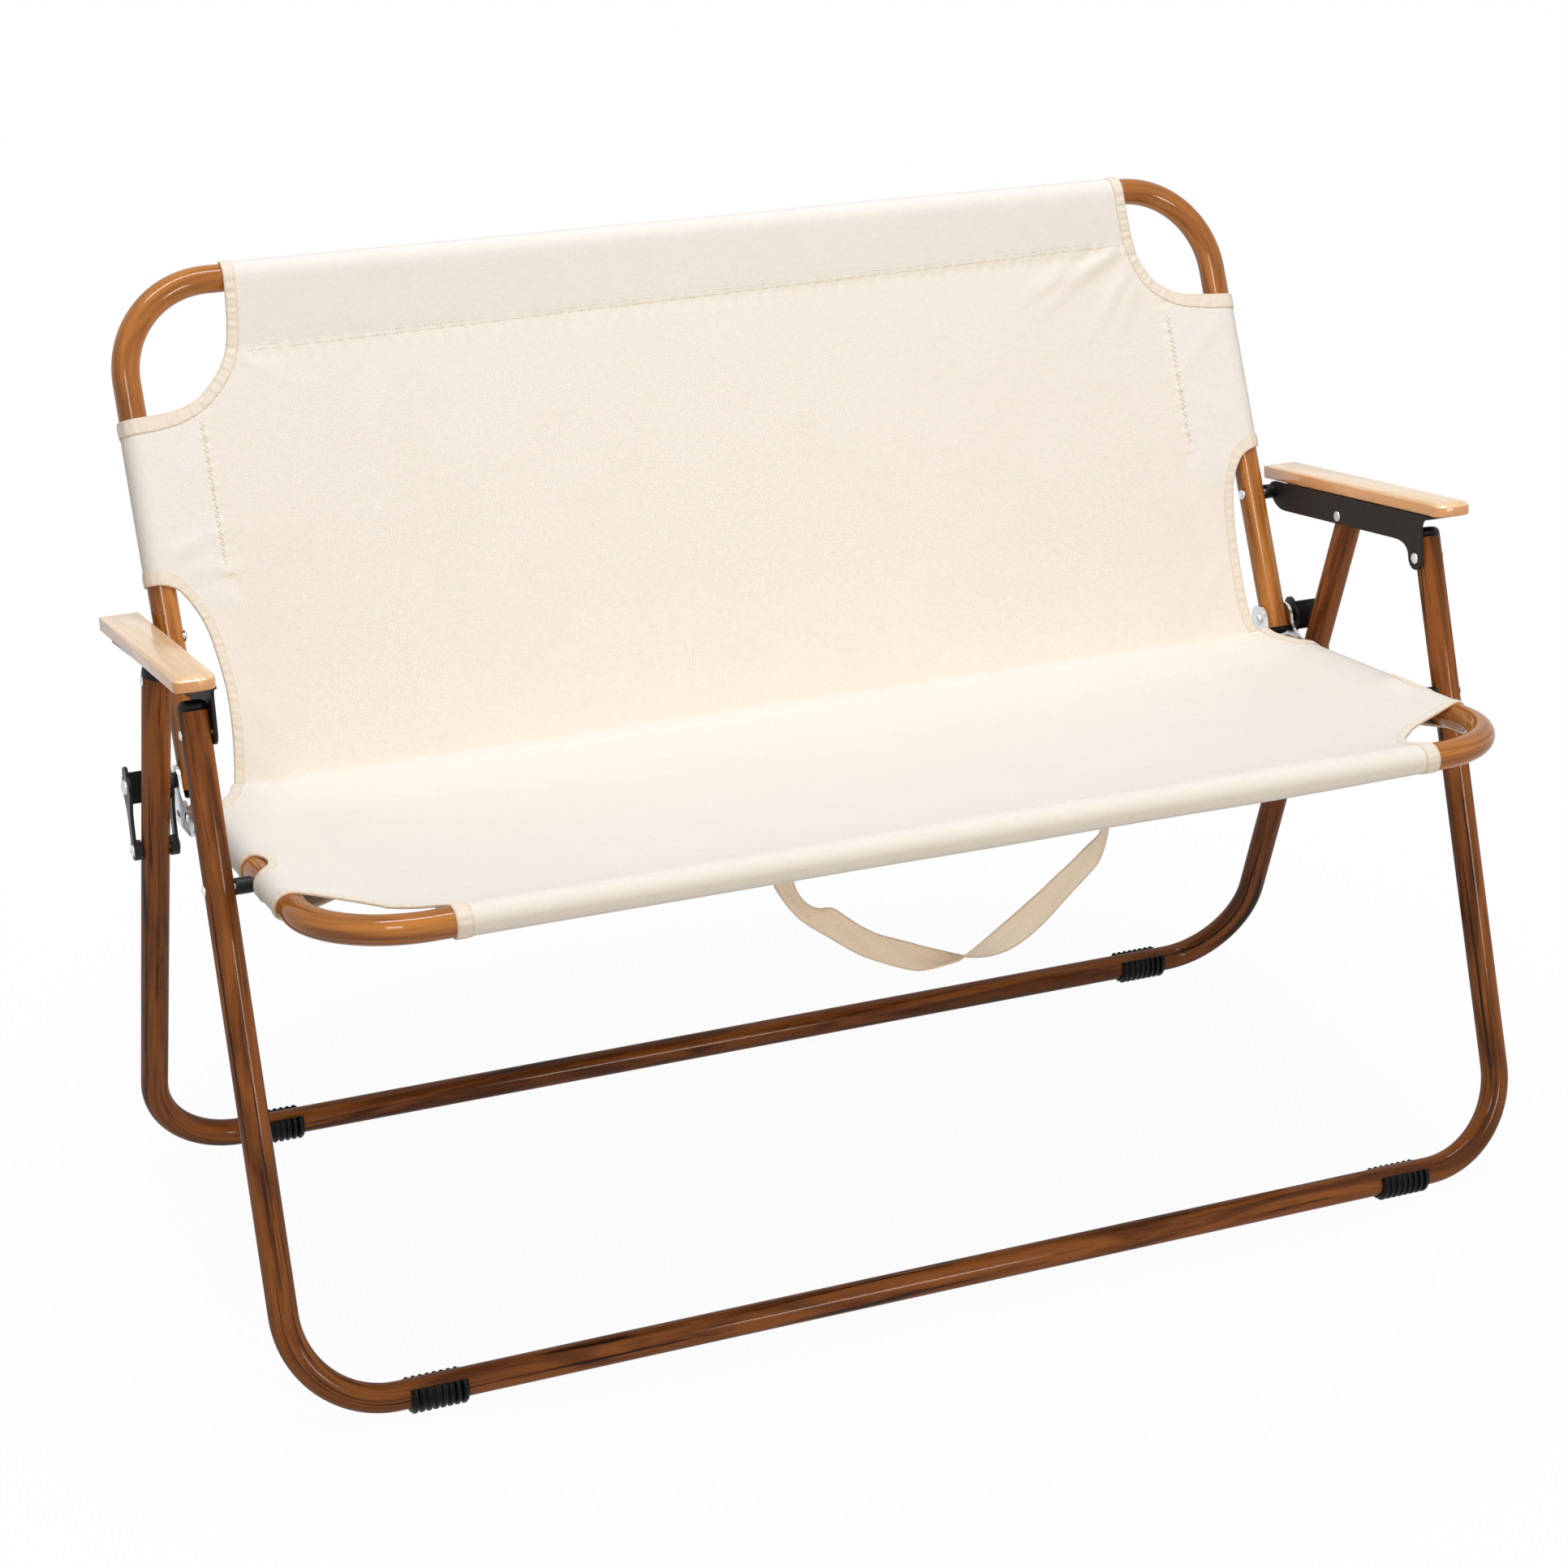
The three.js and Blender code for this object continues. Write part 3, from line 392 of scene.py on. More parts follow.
class NodeTree:
    """Shorthand for building a shader or geometry node tree."""

    def __init__(self, tree: bpy.types.NodeTree) -> None:
        """Wraps the tree."""
        self.tree = tree

    def add(self, kind: str, inputs: Inputs | None = None, **settings: object) -> bpy.types.Node:
        """Adds a node.

        Args:
            kind: The node's type name.
            inputs: Values or sockets for its inputs.
            settings: Properties to set.

        Returns:
            The node.
        """
        node = self.tree.nodes.new(kind)
        for key, value in settings.items():
            setattr(node, key, value)
        self.put_all(node, inputs or {})
        return node

    def put_all(self, node: bpy.types.Node, inputs: Inputs) -> None:
        """Links or sets several inputs of a node."""
        for key, value in inputs.items():
            self.put(node.inputs[key], value)

    def put(self, socket: bpy.types.NodeSocket, value: object) -> None:
        """Links a socket to another, or sets its value.

        Args:
            socket: The input socket.
            value: An output socket or a plain value.
        """
        if isinstance(value, bpy.types.NodeSocket):
            self.tree.links.new(value, socket)
        else:
            socket.default_value = value

    def math(self, operation: str, a: object, b: object = 0.0, clamp: bool = False) -> bpy.types.NodeSocket:
        """Adds a Math node and returns its output.

        Args:
            operation: The node's operation.
            a: First value or socket.
            b: Second value or socket.
            clamp: Whether the result is held between 0 and 1.

        Returns:
            The output socket.
        """
        return self.add("ShaderNodeMath", {0: a, 1: b}, operation=operation, use_clamp=clamp).outputs[0]

    def mix(self, factor: object, a: object, b: object) -> bpy.types.NodeSocket:
        """Mixes two colours and returns the output socket.

        Args:
            factor: Share of the second colour.
            a: First colour.
            b: Second colour.

        Returns:
            The output socket.
        """
        return self.add("ShaderNodeMix", {0: factor, 6: a, 7: b}, data_type="RGBA").outputs[2]

    def noise(
        self, vector: object, scale: float, detail: float = 3.0, rough: float = 0.5, bend: float = 0.0
    ) -> bpy.types.NodeSocket:
        """Adds a noise texture and returns its value.

        Args:
            vector: The coordinate socket.
            scale: Features per metre.
            detail: Octaves.
            rough: Weight of the finer octaves.
            bend: Distortion.

        Returns:
            The value socket.
        """
        inputs = {"Vector": vector, "Scale": scale, "Detail": detail, "Roughness": rough, "Distortion": bend}
        return self.add("ShaderNodeTexNoise", inputs).outputs[0]

    def ramp(self, factor: object, low: float, high: float) -> bpy.types.NodeSocket:
        """Maps a value smoothly from 0 at low to 1 at high.

        Args:
            factor: The value socket.
            low: Value that gives 0.
            high: Value that gives 1.

        Returns:
            The result socket.
        """
        inputs = {0: factor, 1: low, 2: high}
        return self.add("ShaderNodeMapRange", inputs, interpolation_type="SMOOTHSTEP").outputs[0]

    def between(self, share: object, low: float, high: float) -> bpy.types.NodeSocket:
        """Turns a share from 0 to 1 into a value from low to high.

        Args:
            share: The share's socket.
            low: Value at 0.
            high: Value at 1.

        Returns:
            The value socket.
        """
        return self.add("ShaderNodeMapRange", {0: share, 3: low, 4: high}).outputs[0]

    def seen(self) -> bpy.types.NodeSocket:
        """1 for rays from the camera, in a mirror or through glass, and 0 for all others."""
        path = self.add("ShaderNodeLightPath")
        seen = self.math("ADD", path.outputs["Is Camera Ray"], path.outputs["Is Glossy Ray"], True)
        return self.math("ADD", seen, path.outputs["Is Transmission Ray"], True)

    def read(self, name: str, kind: str = "FLOAT_VECTOR") -> bpy.types.NodeSocket:
        """Reads a named attribute of the geometry.

        Args:
            name: The attribute's name.
            kind: Its data type.

        Returns:
            The attribute's socket.
        """
        node = self.add("GeometryNodeInputNamedAttribute", {"Name": name}, data_type=kind)
        return node.outputs["Attribute"]

    def store(
        self, geometry: object, name: str, value: object, kind: str = "FLOAT_VECTOR"
    ) -> bpy.types.NodeSocket:
        """Stores a value at each point of the geometry.

        Args:
            geometry: The geometry socket.
            name: The attribute's name.
            value: The value socket.
            kind: Its data type.

        Returns:
            The geometry socket.
        """
        inputs = {"Geometry": geometry, "Name": name, "Value": value}
        node = self.add("GeometryNodeStoreNamedAttribute", inputs, data_type=kind, domain="POINT")
        return node.outputs[0]

    def scaled(self, vector: object, scale: Point3, turn: Point3 = (0, 0, 0)) -> bpy.types.NodeSocket:
        """Scales and turns a coordinate.

        Args:
            vector: The coordinate socket.
            scale: Scale of each axis.
            turn: Turn about each axis, in radians, applied before the scale.

        Returns:
            The new coordinate.
        """
        turned = self.add("ShaderNodeMapping", {"Vector": vector, "Rotation": turn}).outputs[0]
        return self.add("ShaderNodeMapping", {"Vector": turned, "Scale": scale}).outputs[0]


def srgb(red: int, green: int, blue: int) -> Rgba:
    """Turns 0-255 screen values into a linear colour with alpha.

    Args:
        red: Red, 0 to 255.
        green: Green, 0 to 255.
        blue: Blue, 0 to 255.

    Returns:
        The linear colour.
    """
    shares = (red / 255, green / 255, blue / 255)
    linear = [c / 12.92 if c <= 0.04045 else ((c + 0.055) / 1.055) ** 2.4 for c in shares]
    return (linear[0], linear[1], linear[2], 1.0)


class ShaderGroup:
    """A shader node group with named inputs and outputs, built once."""

    _built: dict[str, bpy.types.NodeTree] = {}

    @classmethod
    def get(
        cls,
        name: str,
        inputs: Sequence[tuple[str, str, object]],
        outputs: Sequence[tuple[str, str]],
        build: Callable[[NodeTree, bpy.types.Node, bpy.types.Node], None],
    ) -> bpy.types.NodeTree:
        """Builds the group the first time, and hands it out after that.

        Args:
            name: The group's name.
            inputs: Name, socket type and default of each input.
            outputs: Name and socket type of each output.
            build: Fills the tree between its group input and output nodes.

        Returns:
            The node group.
        """
        if name not in cls._built:
            tree = bpy.data.node_groups.new(name, "ShaderNodeTree")
            for label, kind, value in inputs:
                socket = tree.interface.new_socket(label, in_out="INPUT", socket_type=kind)
                if value is not None:
                    socket.default_value = value
            for label, kind in outputs:
                tree.interface.new_socket(label, in_out="OUTPUT", socket_type=kind)
            nodes = NodeTree(tree)
            build(nodes, nodes.add("NodeGroupInput"), nodes.add("NodeGroupOutput"))
            cls._built[name] = tree
        return cls._built[name]


def wood_grain_group() -> bpy.types.NodeTree:
    """The wood grain group: long streaks along Z of its coordinate."""

    def build(nodes: NodeTree, source: bpy.types.Node, sink: bpy.types.Node) -> None:
        """Fills the group."""
        along = nodes.scaled(source.outputs["Vector"], (1.0, 1.0, 0.045))
        fine = nodes.noise(along, 420.0, 4.0, 0.62, 0.35)
        broad = nodes.noise(nodes.scaled(source.outputs["Vector"], (1.0, 1.0, 0.10)), 60.0, 3.0, 0.55, 0.9)
        vein = nodes.noise(nodes.scaled(source.outputs["Vector"], (1.0, 1.0, 0.03)), 110.0, 5.0, 0.6, 1.3)
        body = nodes.mix(nodes.ramp(broad, 0.34, 0.68), source.outputs["Light"], source.outputs["Dark"])
        pores = nodes.math("MULTIPLY", nodes.ramp(fine, 0.52, 0.72), source.outputs["Pores"])
        body = nodes.mix(pores, body, source.outputs["Streak"])
        veins = nodes.math("MULTIPLY", nodes.ramp(vein, 0.56, 0.66), source.outputs["Veins"])
        body = nodes.mix(veins, body, source.outputs["Streak"])
        nodes.put_all(sink, {"Colour": body, "Mask": nodes.math("MAXIMUM", pores, veins)})

    return ShaderGroup.get(
        "WoodGrain",
        [
            ("Vector", "NodeSocketVector", None),
            ("Light", "NodeSocketColor", (0.4, 0.2, 0.08, 1)),
            ("Dark", "NodeSocketColor", (0.2, 0.1, 0.04, 1)),
            ("Streak", "NodeSocketColor", (0.04, 0.02, 0.01, 1)),
            ("Pores", "NodeSocketFloat", 0.4),
            ("Veins", "NodeSocketFloat", 0.8),
        ],
        [("Colour", "NodeSocketColor"), ("Mask", "NodeSocketFloat")],
        build,
    )


def weave_group() -> bpy.types.NodeTree:
    """The plain weave group: crossing threads and slubs from a flat coordinate."""

    def build(nodes: NodeTree, source: bpy.types.Node, sink: bpy.types.Node) -> None:
        """Fills the group."""
        inputs = {0: source.outputs["Vector"], "Scale": source.outputs["Threads"]}
        scaled = nodes.add("ShaderNodeVectorMath", inputs, operation="SCALE").outputs[0]
        parts = nodes.add("ShaderNodeSeparateXYZ", {0: scaled})
        warp = nodes.math("SINE", nodes.math("MULTIPLY", parts.outputs[0], 2 * math.pi))
        weft = nodes.math("SINE", nodes.math("MULTIPLY", parts.outputs[1], 2 * math.pi))
        height = nodes.math("MULTIPLY", warp, weft)
        slub_x = nodes.noise(nodes.scaled(source.outputs["Vector"], (1.0, 0.12, 1.0)), 1100.0, 2.0)
        slub_y = nodes.noise(nodes.scaled(source.outputs["Vector"], (0.12, 1.0, 1.0)), 1100.0, 2.0)
        slub = nodes.math("ADD", slub_x, slub_y)
        raised = nodes.math("ADD", nodes.math("MULTIPLY", height, 0.35), slub)
        nodes.put_all(sink, {"Height": raised, "Slub": nodes.ramp(slub, 0.75, 1.25)})

    return ShaderGroup.get(
        "PlainWeave",
        [("Vector", "NodeSocketVector", None), ("Threads", "NodeSocketFloat", 700.0)],
        [("Height", "NodeSocketFloat"), ("Slub", "NodeSocketFloat")],
        build,
    )


def mottle_group() -> bpy.types.NodeTree:
    """The mottle group: soft large patches and fine specks in object space."""

    def build(nodes: NodeTree, source: bpy.types.Node, sink: bpy.types.Node) -> None:
        """Fills the group."""
        vector = source.outputs["Vector"]
        patch = nodes.noise(vector, 18.0, 3.0, 0.5)
        speck = nodes.noise(vector, 900.0, 2.0, 0.6)
        nodes.put_all(sink, {"Patch": nodes.ramp(patch, 0.3, 0.7), "Speck": nodes.ramp(speck, 0.35, 0.75)})

    return ShaderGroup.get(
        "Mottle",
        [("Vector", "NodeSocketVector", None)],
        [("Patch", "NodeSocketFloat"), ("Speck", "NodeSocketFloat")],
        build,
    )


# Finishes


class Finish:
    """A finish that builds its material once."""

    name: str
    _made: dict[str, bpy.types.Material] = {}

    def material(self) -> bpy.types.Material:
        """The finish's material, built at the first call."""
        if self.name not in Finish._made:
            material = bpy.data.materials.new(self.name)
            material.use_nodes = True
            self.fill(NodeTree(material.node_tree), material.node_tree.nodes["Principled BSDF"])
            Finish._made[self.name] = material
        return Finish._made[self.name]

    def fill(self, nodes: NodeTree, shader: bpy.types.Node) -> None:
        """Builds the finish's nodes round its shader."""
        raise NotImplementedError

    def bump(self, nodes: NodeTree, shader: bpy.types.Node, height: object, distance: float) -> None:
        """Adds a bump to the shader's normal.

        Args:
            nodes: The material's tree.
            shader: The shader node.
            height: Height socket.
            distance: Depth in metres.
        """
        node = nodes.add("ShaderNodeBump", {"Distance": distance, "Height": height})
        nodes.put(shader.inputs["Normal"], node.outputs[0])


@dataclass(frozen=True)
class WoodFilm(Finish):
    """Wood-grain film on tube, its grain running along the tube."""

    name: str
    light: Rgba
    dark: Rgba
    streak: Rgba
    pores: float
    veins: float
    roughness: float
    seed: float
    coat: float

    def fill(self, nodes: NodeTree, shader: bpy.types.Node) -> None:
        """Builds the finish's nodes round its shader."""
        grain = nodes.add("ShaderNodeAttribute", attribute_name="tube_grain")
        start = (self.seed, 0.3 * self.seed, self.seed)
        moved = nodes.add("ShaderNodeMapping", {"Vector": grain.outputs["Vector"], "Location": start})
        wood = nodes.add("ShaderNodeGroup", {
            "Vector": moved.outputs[0], "Light": self.light, "Dark": self.dark,
            "Streak": self.streak, "Pores": self.pores, "Veins": self.veins,
        }, node_tree=wood_grain_group())
        rough = nodes.between(wood.outputs["Mask"], self.roughness, self.roughness + ROUGHNESS_SPREAD)
        nodes.put_all(shader, {
            "Base Color": wood.outputs["Colour"], "Roughness": rough, "Specular IOR Level": 0.0,
            "Coat Weight": self.coat, "Coat Roughness": 0.07, "Coat IOR": 1.42,
        })
        self.bump(nodes, shader, wood.outputs["Mask"], -0.00004)


@dataclass(frozen=True)
class Beech(Finish):
    """Clear-lacquered beech, its grain along the sloping armrest, with painted shade where its faces turn
    from the top.
    """

    slope: float
    name: str = "beech"

    def fill(self, nodes: NodeTree, shader: bpy.types.Node) -> None:
        """Builds the finish's nodes round its shader."""
        place = nodes.add("ShaderNodeTexCoord").outputs["Object"]
        along = nodes.scaled(place, (1.0, 0.06, 1.0), (self.slope, 0, 0))
        rings = nodes.noise(along, 95.0, 3.0, 0.5, 0.5)
        fine = nodes.noise(along, 700.0, 3.0, 0.6, 0.2)
        fleck = nodes.noise(nodes.scaled(place, (1.0, 0.25, 1.0), (self.slope, 0, 0)), 900.0, 1.0, 0.5)
        body = nodes.mix(nodes.ramp(rings, 0.35, 0.7), srgb(248, 211, 164), srgb(232, 184, 128))
        body = nodes.mix(nodes.math("MULTIPLY", nodes.ramp(fine, 0.45, 0.75), 0.35), body, srgb(196, 138, 84))
        body = nodes.mix(nodes.math("MULTIPLY", nodes.ramp(fleck, 0.62, 0.75), 0.3), body, srgb(170, 112, 64))
        # Faces that turn away from the top are painted a deeper orange: painted shade on the sides, and at
        # the front end partly the end grain's own colour.
        normal = nodes.add("ShaderNodeNewGeometry").outputs["True Normal"]
        facing = nodes.add("ShaderNodeSeparateXYZ", {0: normal})
        painted_side_shade = nodes.ramp(nodes.math("SUBTRACT", 1.0, facing.outputs[2]), 0.12, 0.7)
        body = nodes.mix(nodes.math("MULTIPLY", painted_side_shade, 0.85), body, srgb(224, 154, 90))
        nodes.put_all(shader, {
            "Base Color": body, "Roughness": 0.42, "Coat Weight": 0.6, "Coat Roughness": 0.12,
        })
        self.bump(nodes, shader, fine, 0.00006)


@dataclass(frozen=True)
class PlainFinish(Finish):
    """Plastic, rubber, powder coat or plated metal with mottle and fine relief."""

    name: str
    colour: Rgba
    worn: Rgba
    roughness: float
    relief: float
    metallic: float = 0.0
    specular: float = 0.5

    def fill(self, nodes: NodeTree, shader: bpy.types.Node) -> None:
        """Builds the finish's nodes round its shader."""
        place = nodes.add("ShaderNodeTexCoord").outputs["Object"]
        mottle = nodes.add("ShaderNodeGroup", {"Vector": place}, node_tree=mottle_group())
        nodes.put_all(shader, {
            "Base Color": nodes.mix(mottle.outputs["Patch"], self.colour, self.worn),
            "Roughness": nodes.between(
                mottle.outputs["Patch"], self.roughness, self.roughness + ROUGHNESS_SPREAD
            ),
            "Metallic": self.metallic, "Specular IOR Level": self.specular,
        })
        self.bump(nodes, shader, mottle.outputs["Speck"], self.relief)


@dataclass(frozen=True)
class Cloth(Finish):
    """Woven cotton with a plain weave, read from the piece's own UV map.

    Where the piece's tint attribute is 1 the cloth shows its second colour: on the canvas where it lies
    double, on the tape as painted shade along its edges, and on the strap along its edges.
    """

    name: str
    colour: Rgba
    slub: Rgba
    second: Rgba
    threads: float
    relief: float
    slub_share: float = 0.3

    def fill(self, nodes: NodeTree, shader: bpy.types.Node) -> None:
        """Builds the finish's nodes round its shader."""
        uv = nodes.add("ShaderNodeUVMap", uv_map=UV_MAP).outputs[0]
        weave = nodes.add("ShaderNodeGroup", {"Vector": uv, "Threads": self.threads}, node_tree=weave_group())
        place = nodes.add("ShaderNodeTexCoord").outputs["Object"]
        mottle = nodes.add("ShaderNodeGroup", {"Vector": place}, node_tree=mottle_group())
        tint = nodes.add("ShaderNodeAttribute", attribute_name="tint").outputs["Fac"]
        body = nodes.mix(tint, self.colour, self.second)
        body = nodes.mix(nodes.math("MULTIPLY", weave.outputs["Slub"], self.slub_share), body, self.slub)
        shade = nodes.math("MULTIPLY", mottle.outputs["Patch"], 0.12)
        nodes.put_all(shader, {
            "Base Color": nodes.mix(shade, body, self.slub), "Roughness": 0.88,
            "Specular IOR Level": 0.2, "Sheen Weight": 0.08, "Sheen Roughness": 0.5,
        })
        self.bump(nodes, shader, weave.outputs["Height"], self.relief)


LEG_FILM = WoodFilm(
    "leg_film", srgb(157, 91, 41), srgb(101, 54, 22), srgb(35, 18, 9),
    pores=0.55, veins=0.95, roughness=0.42, seed=0.7, coat=0.32,
)
FRAME_FILM = WoodFilm(
    "frame_film", srgb(204, 128, 52), srgb(147, 83, 29), srgb(82, 42, 14),
    pores=0.42, veins=0.4, roughness=0.36, seed=2.3, coat=0.8,
)
BLACK_PLASTIC = PlainFinish("black_plastic", srgb(11, 10, 10), srgb(18, 17, 16), 0.36, 0.00003, specular=0.25)
RUBBER = PlainFinish("foot_rubber", srgb(7, 7, 7), srgb(14, 13, 13), 0.36, 0.00004, specular=0.14)
BLACK_STEEL = PlainFinish("black_steel", srgb(34, 29, 26), srgb(42, 36, 32), 0.5, 0.00008, specular=0.18)
LINK_STEEL = PlainFinish("link_steel", srgb(14, 13, 12), srgb(22, 20, 19), 0.36, 0.00006, specular=0.3)
ZINC = PlainFinish("zinc", srgb(190, 192, 196), srgb(226, 227, 230), 0.22, 0.00002, metallic=1.0)
CANVAS = Cloth("canvas", srgb(247, 236, 221), srgb(237, 222, 203), srgb(246, 237, 225), 620.0, 0.0001)
# The binding's third colour is painted shade, darker along the tape's edges.
BINDING = Cloth("binding", srgb(247, 233, 213), srgb(235, 216, 190), srgb(230, 209, 179), 900.0, 0.0001, 0.45)
WEBBING = Cloth("webbing", srgb(254, 234, 208), srgb(243, 219, 190), srgb(240, 216, 186), 420.0, 0.0002, 0.5)
THREAD = PlainFinish("thread", srgb(245, 236, 221), srgb(236, 224, 205), 0.7, 0.00003)


# Geometry node tools


class GeometryTool:
    """A geometry node tree that is built once and run as a modifier."""

    label: str
    sockets: tuple[tuple[str, str], ...]
    _built: dict[str, tuple[bpy.types.NodeTree, dict[str, str]]] = {}

    @classmethod
    def fill(cls, nodes: NodeTree, source: bpy.types.Node) -> bpy.types.NodeSocket:
        """Builds the nodes from the group's input on and returns their geometry."""
        raise NotImplementedError

    @classmethod
    def tree(cls) -> tuple[bpy.types.NodeTree, dict[str, str]]:
        """The node tree, built at the first call, and its inputs' identifiers."""
        if cls.label in cls._built:
            return cls._built[cls.label]
        tree = bpy.data.node_groups.new(cls.label, "GeometryNodeTree")
        names: dict[str, str] = {}
        for label, kind in cls.sockets:
            names[label] = tree.interface.new_socket(label, in_out="INPUT", socket_type=kind).identifier
        tree.interface.new_socket("Result", in_out="OUTPUT", socket_type="NodeSocketGeometry")
        nodes = NodeTree(tree)
        source = nodes.add("NodeGroupInput")
        real = nodes.add("GeometryNodeRealizeInstances", {0: cls.fill(nodes, source)}).outputs[0]
        inputs = {"Geometry": real, "Material": source.outputs["Finish"]}
        nodes.add("NodeGroupOutput", {0: nodes.add("GeometryNodeSetMaterial", inputs).outputs[0]})
        cls._built[cls.label] = (tree, names)
        return cls._built[cls.label]

    @classmethod
    def run(cls, piece: bpy.types.Object, name: str, **values: object) -> bpy.types.Object:
        """Runs the tree on an object and makes the result a plain mesh.

        Args:
            piece: The object, which is removed.
            name: The new piece's name.
            values: Values for the tree's inputs, by name.

        Returns:
            The plain mesh object.
        """
        tree, names = cls.tree()
        modifier = piece.modifiers.new(cls.label, "NODES")
        modifier.node_group = tree
        for label, value in values.items():
            modifier[names[label]] = value
        return evaluated(piece, name)


class Repeater(GeometryTool):
    """Geometry nodes that set a source shape at every point of a mesh."""

    label = "SetAtPoints"
    sockets = (
        ("Points", "NodeSocketGeometry"), ("Shape", "NodeSocketObject"), ("Finish", "NodeSocketMaterial"),
    )

    @classmethod
    def fill(cls, nodes: NodeTree, source: bpy.types.Node) -> bpy.types.NodeSocket:
        """Sets the shape along each point's axis, at its size."""
        turn = nodes.add("FunctionNodeAlignRotationToVector", {"Vector": nodes.read("axis")}, axis="Z")
        shape = nodes.add("GeometryNodeObjectInfo", {"Object": source.outputs["Shape"]})
        return nodes.add("GeometryNodeInstanceOnPoints", {
            "Points": source.outputs["Points"], "Instance": shape.outputs["Geometry"],
            "Rotation": turn.outputs[0], "Scale": nodes.read("size"),
        }).outputs[0]

    @classmethod
    def copies(
        cls,
        name: str,
        shape: MeshData,
        places: Sequence[tuple[Sequence[float], Sequence[float], Sequence[float]]],
        finish: Finish,
    ) -> bpy.types.Object:
        """Sets a shape at every place and makes the result a plain mesh.

        Args:
            name: The new piece's name.
            shape: Vertices and faces of the shape, its own axis along Z.
            places: Point, axis and size of each copy.
            finish: The finish of all the copies.

        Returns:
            The plain mesh object.
        """
        source = mesh_object(name + "_shape", shape)
        recalculate(source)
        points = mesh_object(name + "_points", ([tuple(p) for p, _, _ in places], []))
        for label, index in (("axis", 1), ("size", 2)):
            layer = points.data.attributes.new(label, "FLOAT_VECTOR", "POINT")
            layer.data.foreach_set("vector", [float(c) for place in places for c in place[index]])
        result = cls.run(points, name, Shape=source, Finish=finish.material())
        bpy.data.objects.remove(source)
        return result


class BentTube(GeometryTool):
    """Geometry nodes that bend a tube along a path with rounded corners."""

    label = "BentTube"
    sockets = (
        ("Path", "NodeSocketGeometry"), ("Bend", "NodeSocketFloat"),
        ("Radius", "NodeSocketFloat"), ("Finish", "NodeSocketMaterial"),
    )
    bend_steps = 24
    sides = 40

    @classmethod
    def fill(cls, nodes: NodeTree, source: bpy.types.Node) -> bpy.types.NodeSocket:
        """Sweeps a circle along the path and keeps where the grain runs."""
        inputs = {"Curve": source.outputs["Path"], "Count": cls.bend_steps, "Radius": source.outputs["Bend"]}
        path = nodes.add("GeometryNodeFilletCurve", inputs, mode="POLY").outputs[0]
        length = nodes.add("GeometryNodeSplineParameter").outputs["Length"]
        inputs = {"Resolution": cls.sides, "Radius": source.outputs["Radius"]}
        circle = nodes.add("GeometryNodeCurvePrimitiveCircle", inputs, mode="RADIUS").outputs[0]
        spot = nodes.add("GeometryNodeInputPosition").outputs[0]
        tube = nodes.add("GeometryNodeCurveToMesh", {
            "Curve": nodes.store(path, "along", length, "FLOAT"),
            "Profile Curve": nodes.store(circle, "ring", spot), "Fill Caps": True,
        })
        split = nodes.add("ShaderNodeSeparateXYZ", {0: nodes.read("ring")})
        grain = nodes.add("ShaderNodeCombineXYZ", {
            0: split.outputs[0], 1: split.outputs[1], 2: nodes.read("along", "FLOAT"),
        })
        return nodes.store(tube.outputs[0], "tube_grain", grain.outputs[0])

    @classmethod
    def bend(cls, name: str, points: Sequence[Point3], view: SideView, finish: Finish) -> bpy.types.Object:
        """Bends one tube along a path.

        Args:
            name: The piece's name.
            points: Corners of the path.
            view: Sizes of the tube.
            finish: The tube's finish.

        Returns:
            The plain mesh object.
        """
        curve = bpy.data.curves.new(name + "_path", "CURVE")
        curve.dimensions = "3D"
        spline = curve.splines.new("POLY")
        spline.points.add(len(points) - 1)
        for node, point in zip(spline.points, points):
            node.co = (*point, 1.0)
        path = placed(name + "_path", curve)
        tube = cls.run(path, name, Bend=view.bend_radius, Radius=view.tube_radius, Finish=finish.material())
        tube.data.polygons.foreach_set("use_smooth", [len(face.vertices) == 4 for face in tube.data.polygons])
        return tube


# Frames


def publish(piece: bpy.types.Object, body: str, slot: str, *nodes: str) -> None:
    """Sets a finished piece on its body in place of CAD nodes.

    Args:
        piece: The piece.
        body: The body that it moves with.
        slot: The record's material slot; not used.
        nodes: The CAD nodes that it stands for.
    """
    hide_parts(*nodes)
    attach(piece, body)
    LOG.info("%s rides on %s", piece.name, body)


@dataclass(frozen=True)
class FramePart:
    """A U of tube, by its bar's axis point (y, z) and its legs' direction and length."""

    name: str
    body: str
    half: float
    bar: np.ndarray
    direction: np.ndarray
    length: float
    finish: Finish
    cap: float

    def corners(self) -> list[Point3]:
        """Corners of its path, from one leg's end to the other's."""
        end = self.bar + self.length * self.direction
        return [(-self.half, *end), (-self.half, *self.bar), (self.half, *self.bar), (self.half, *end)]


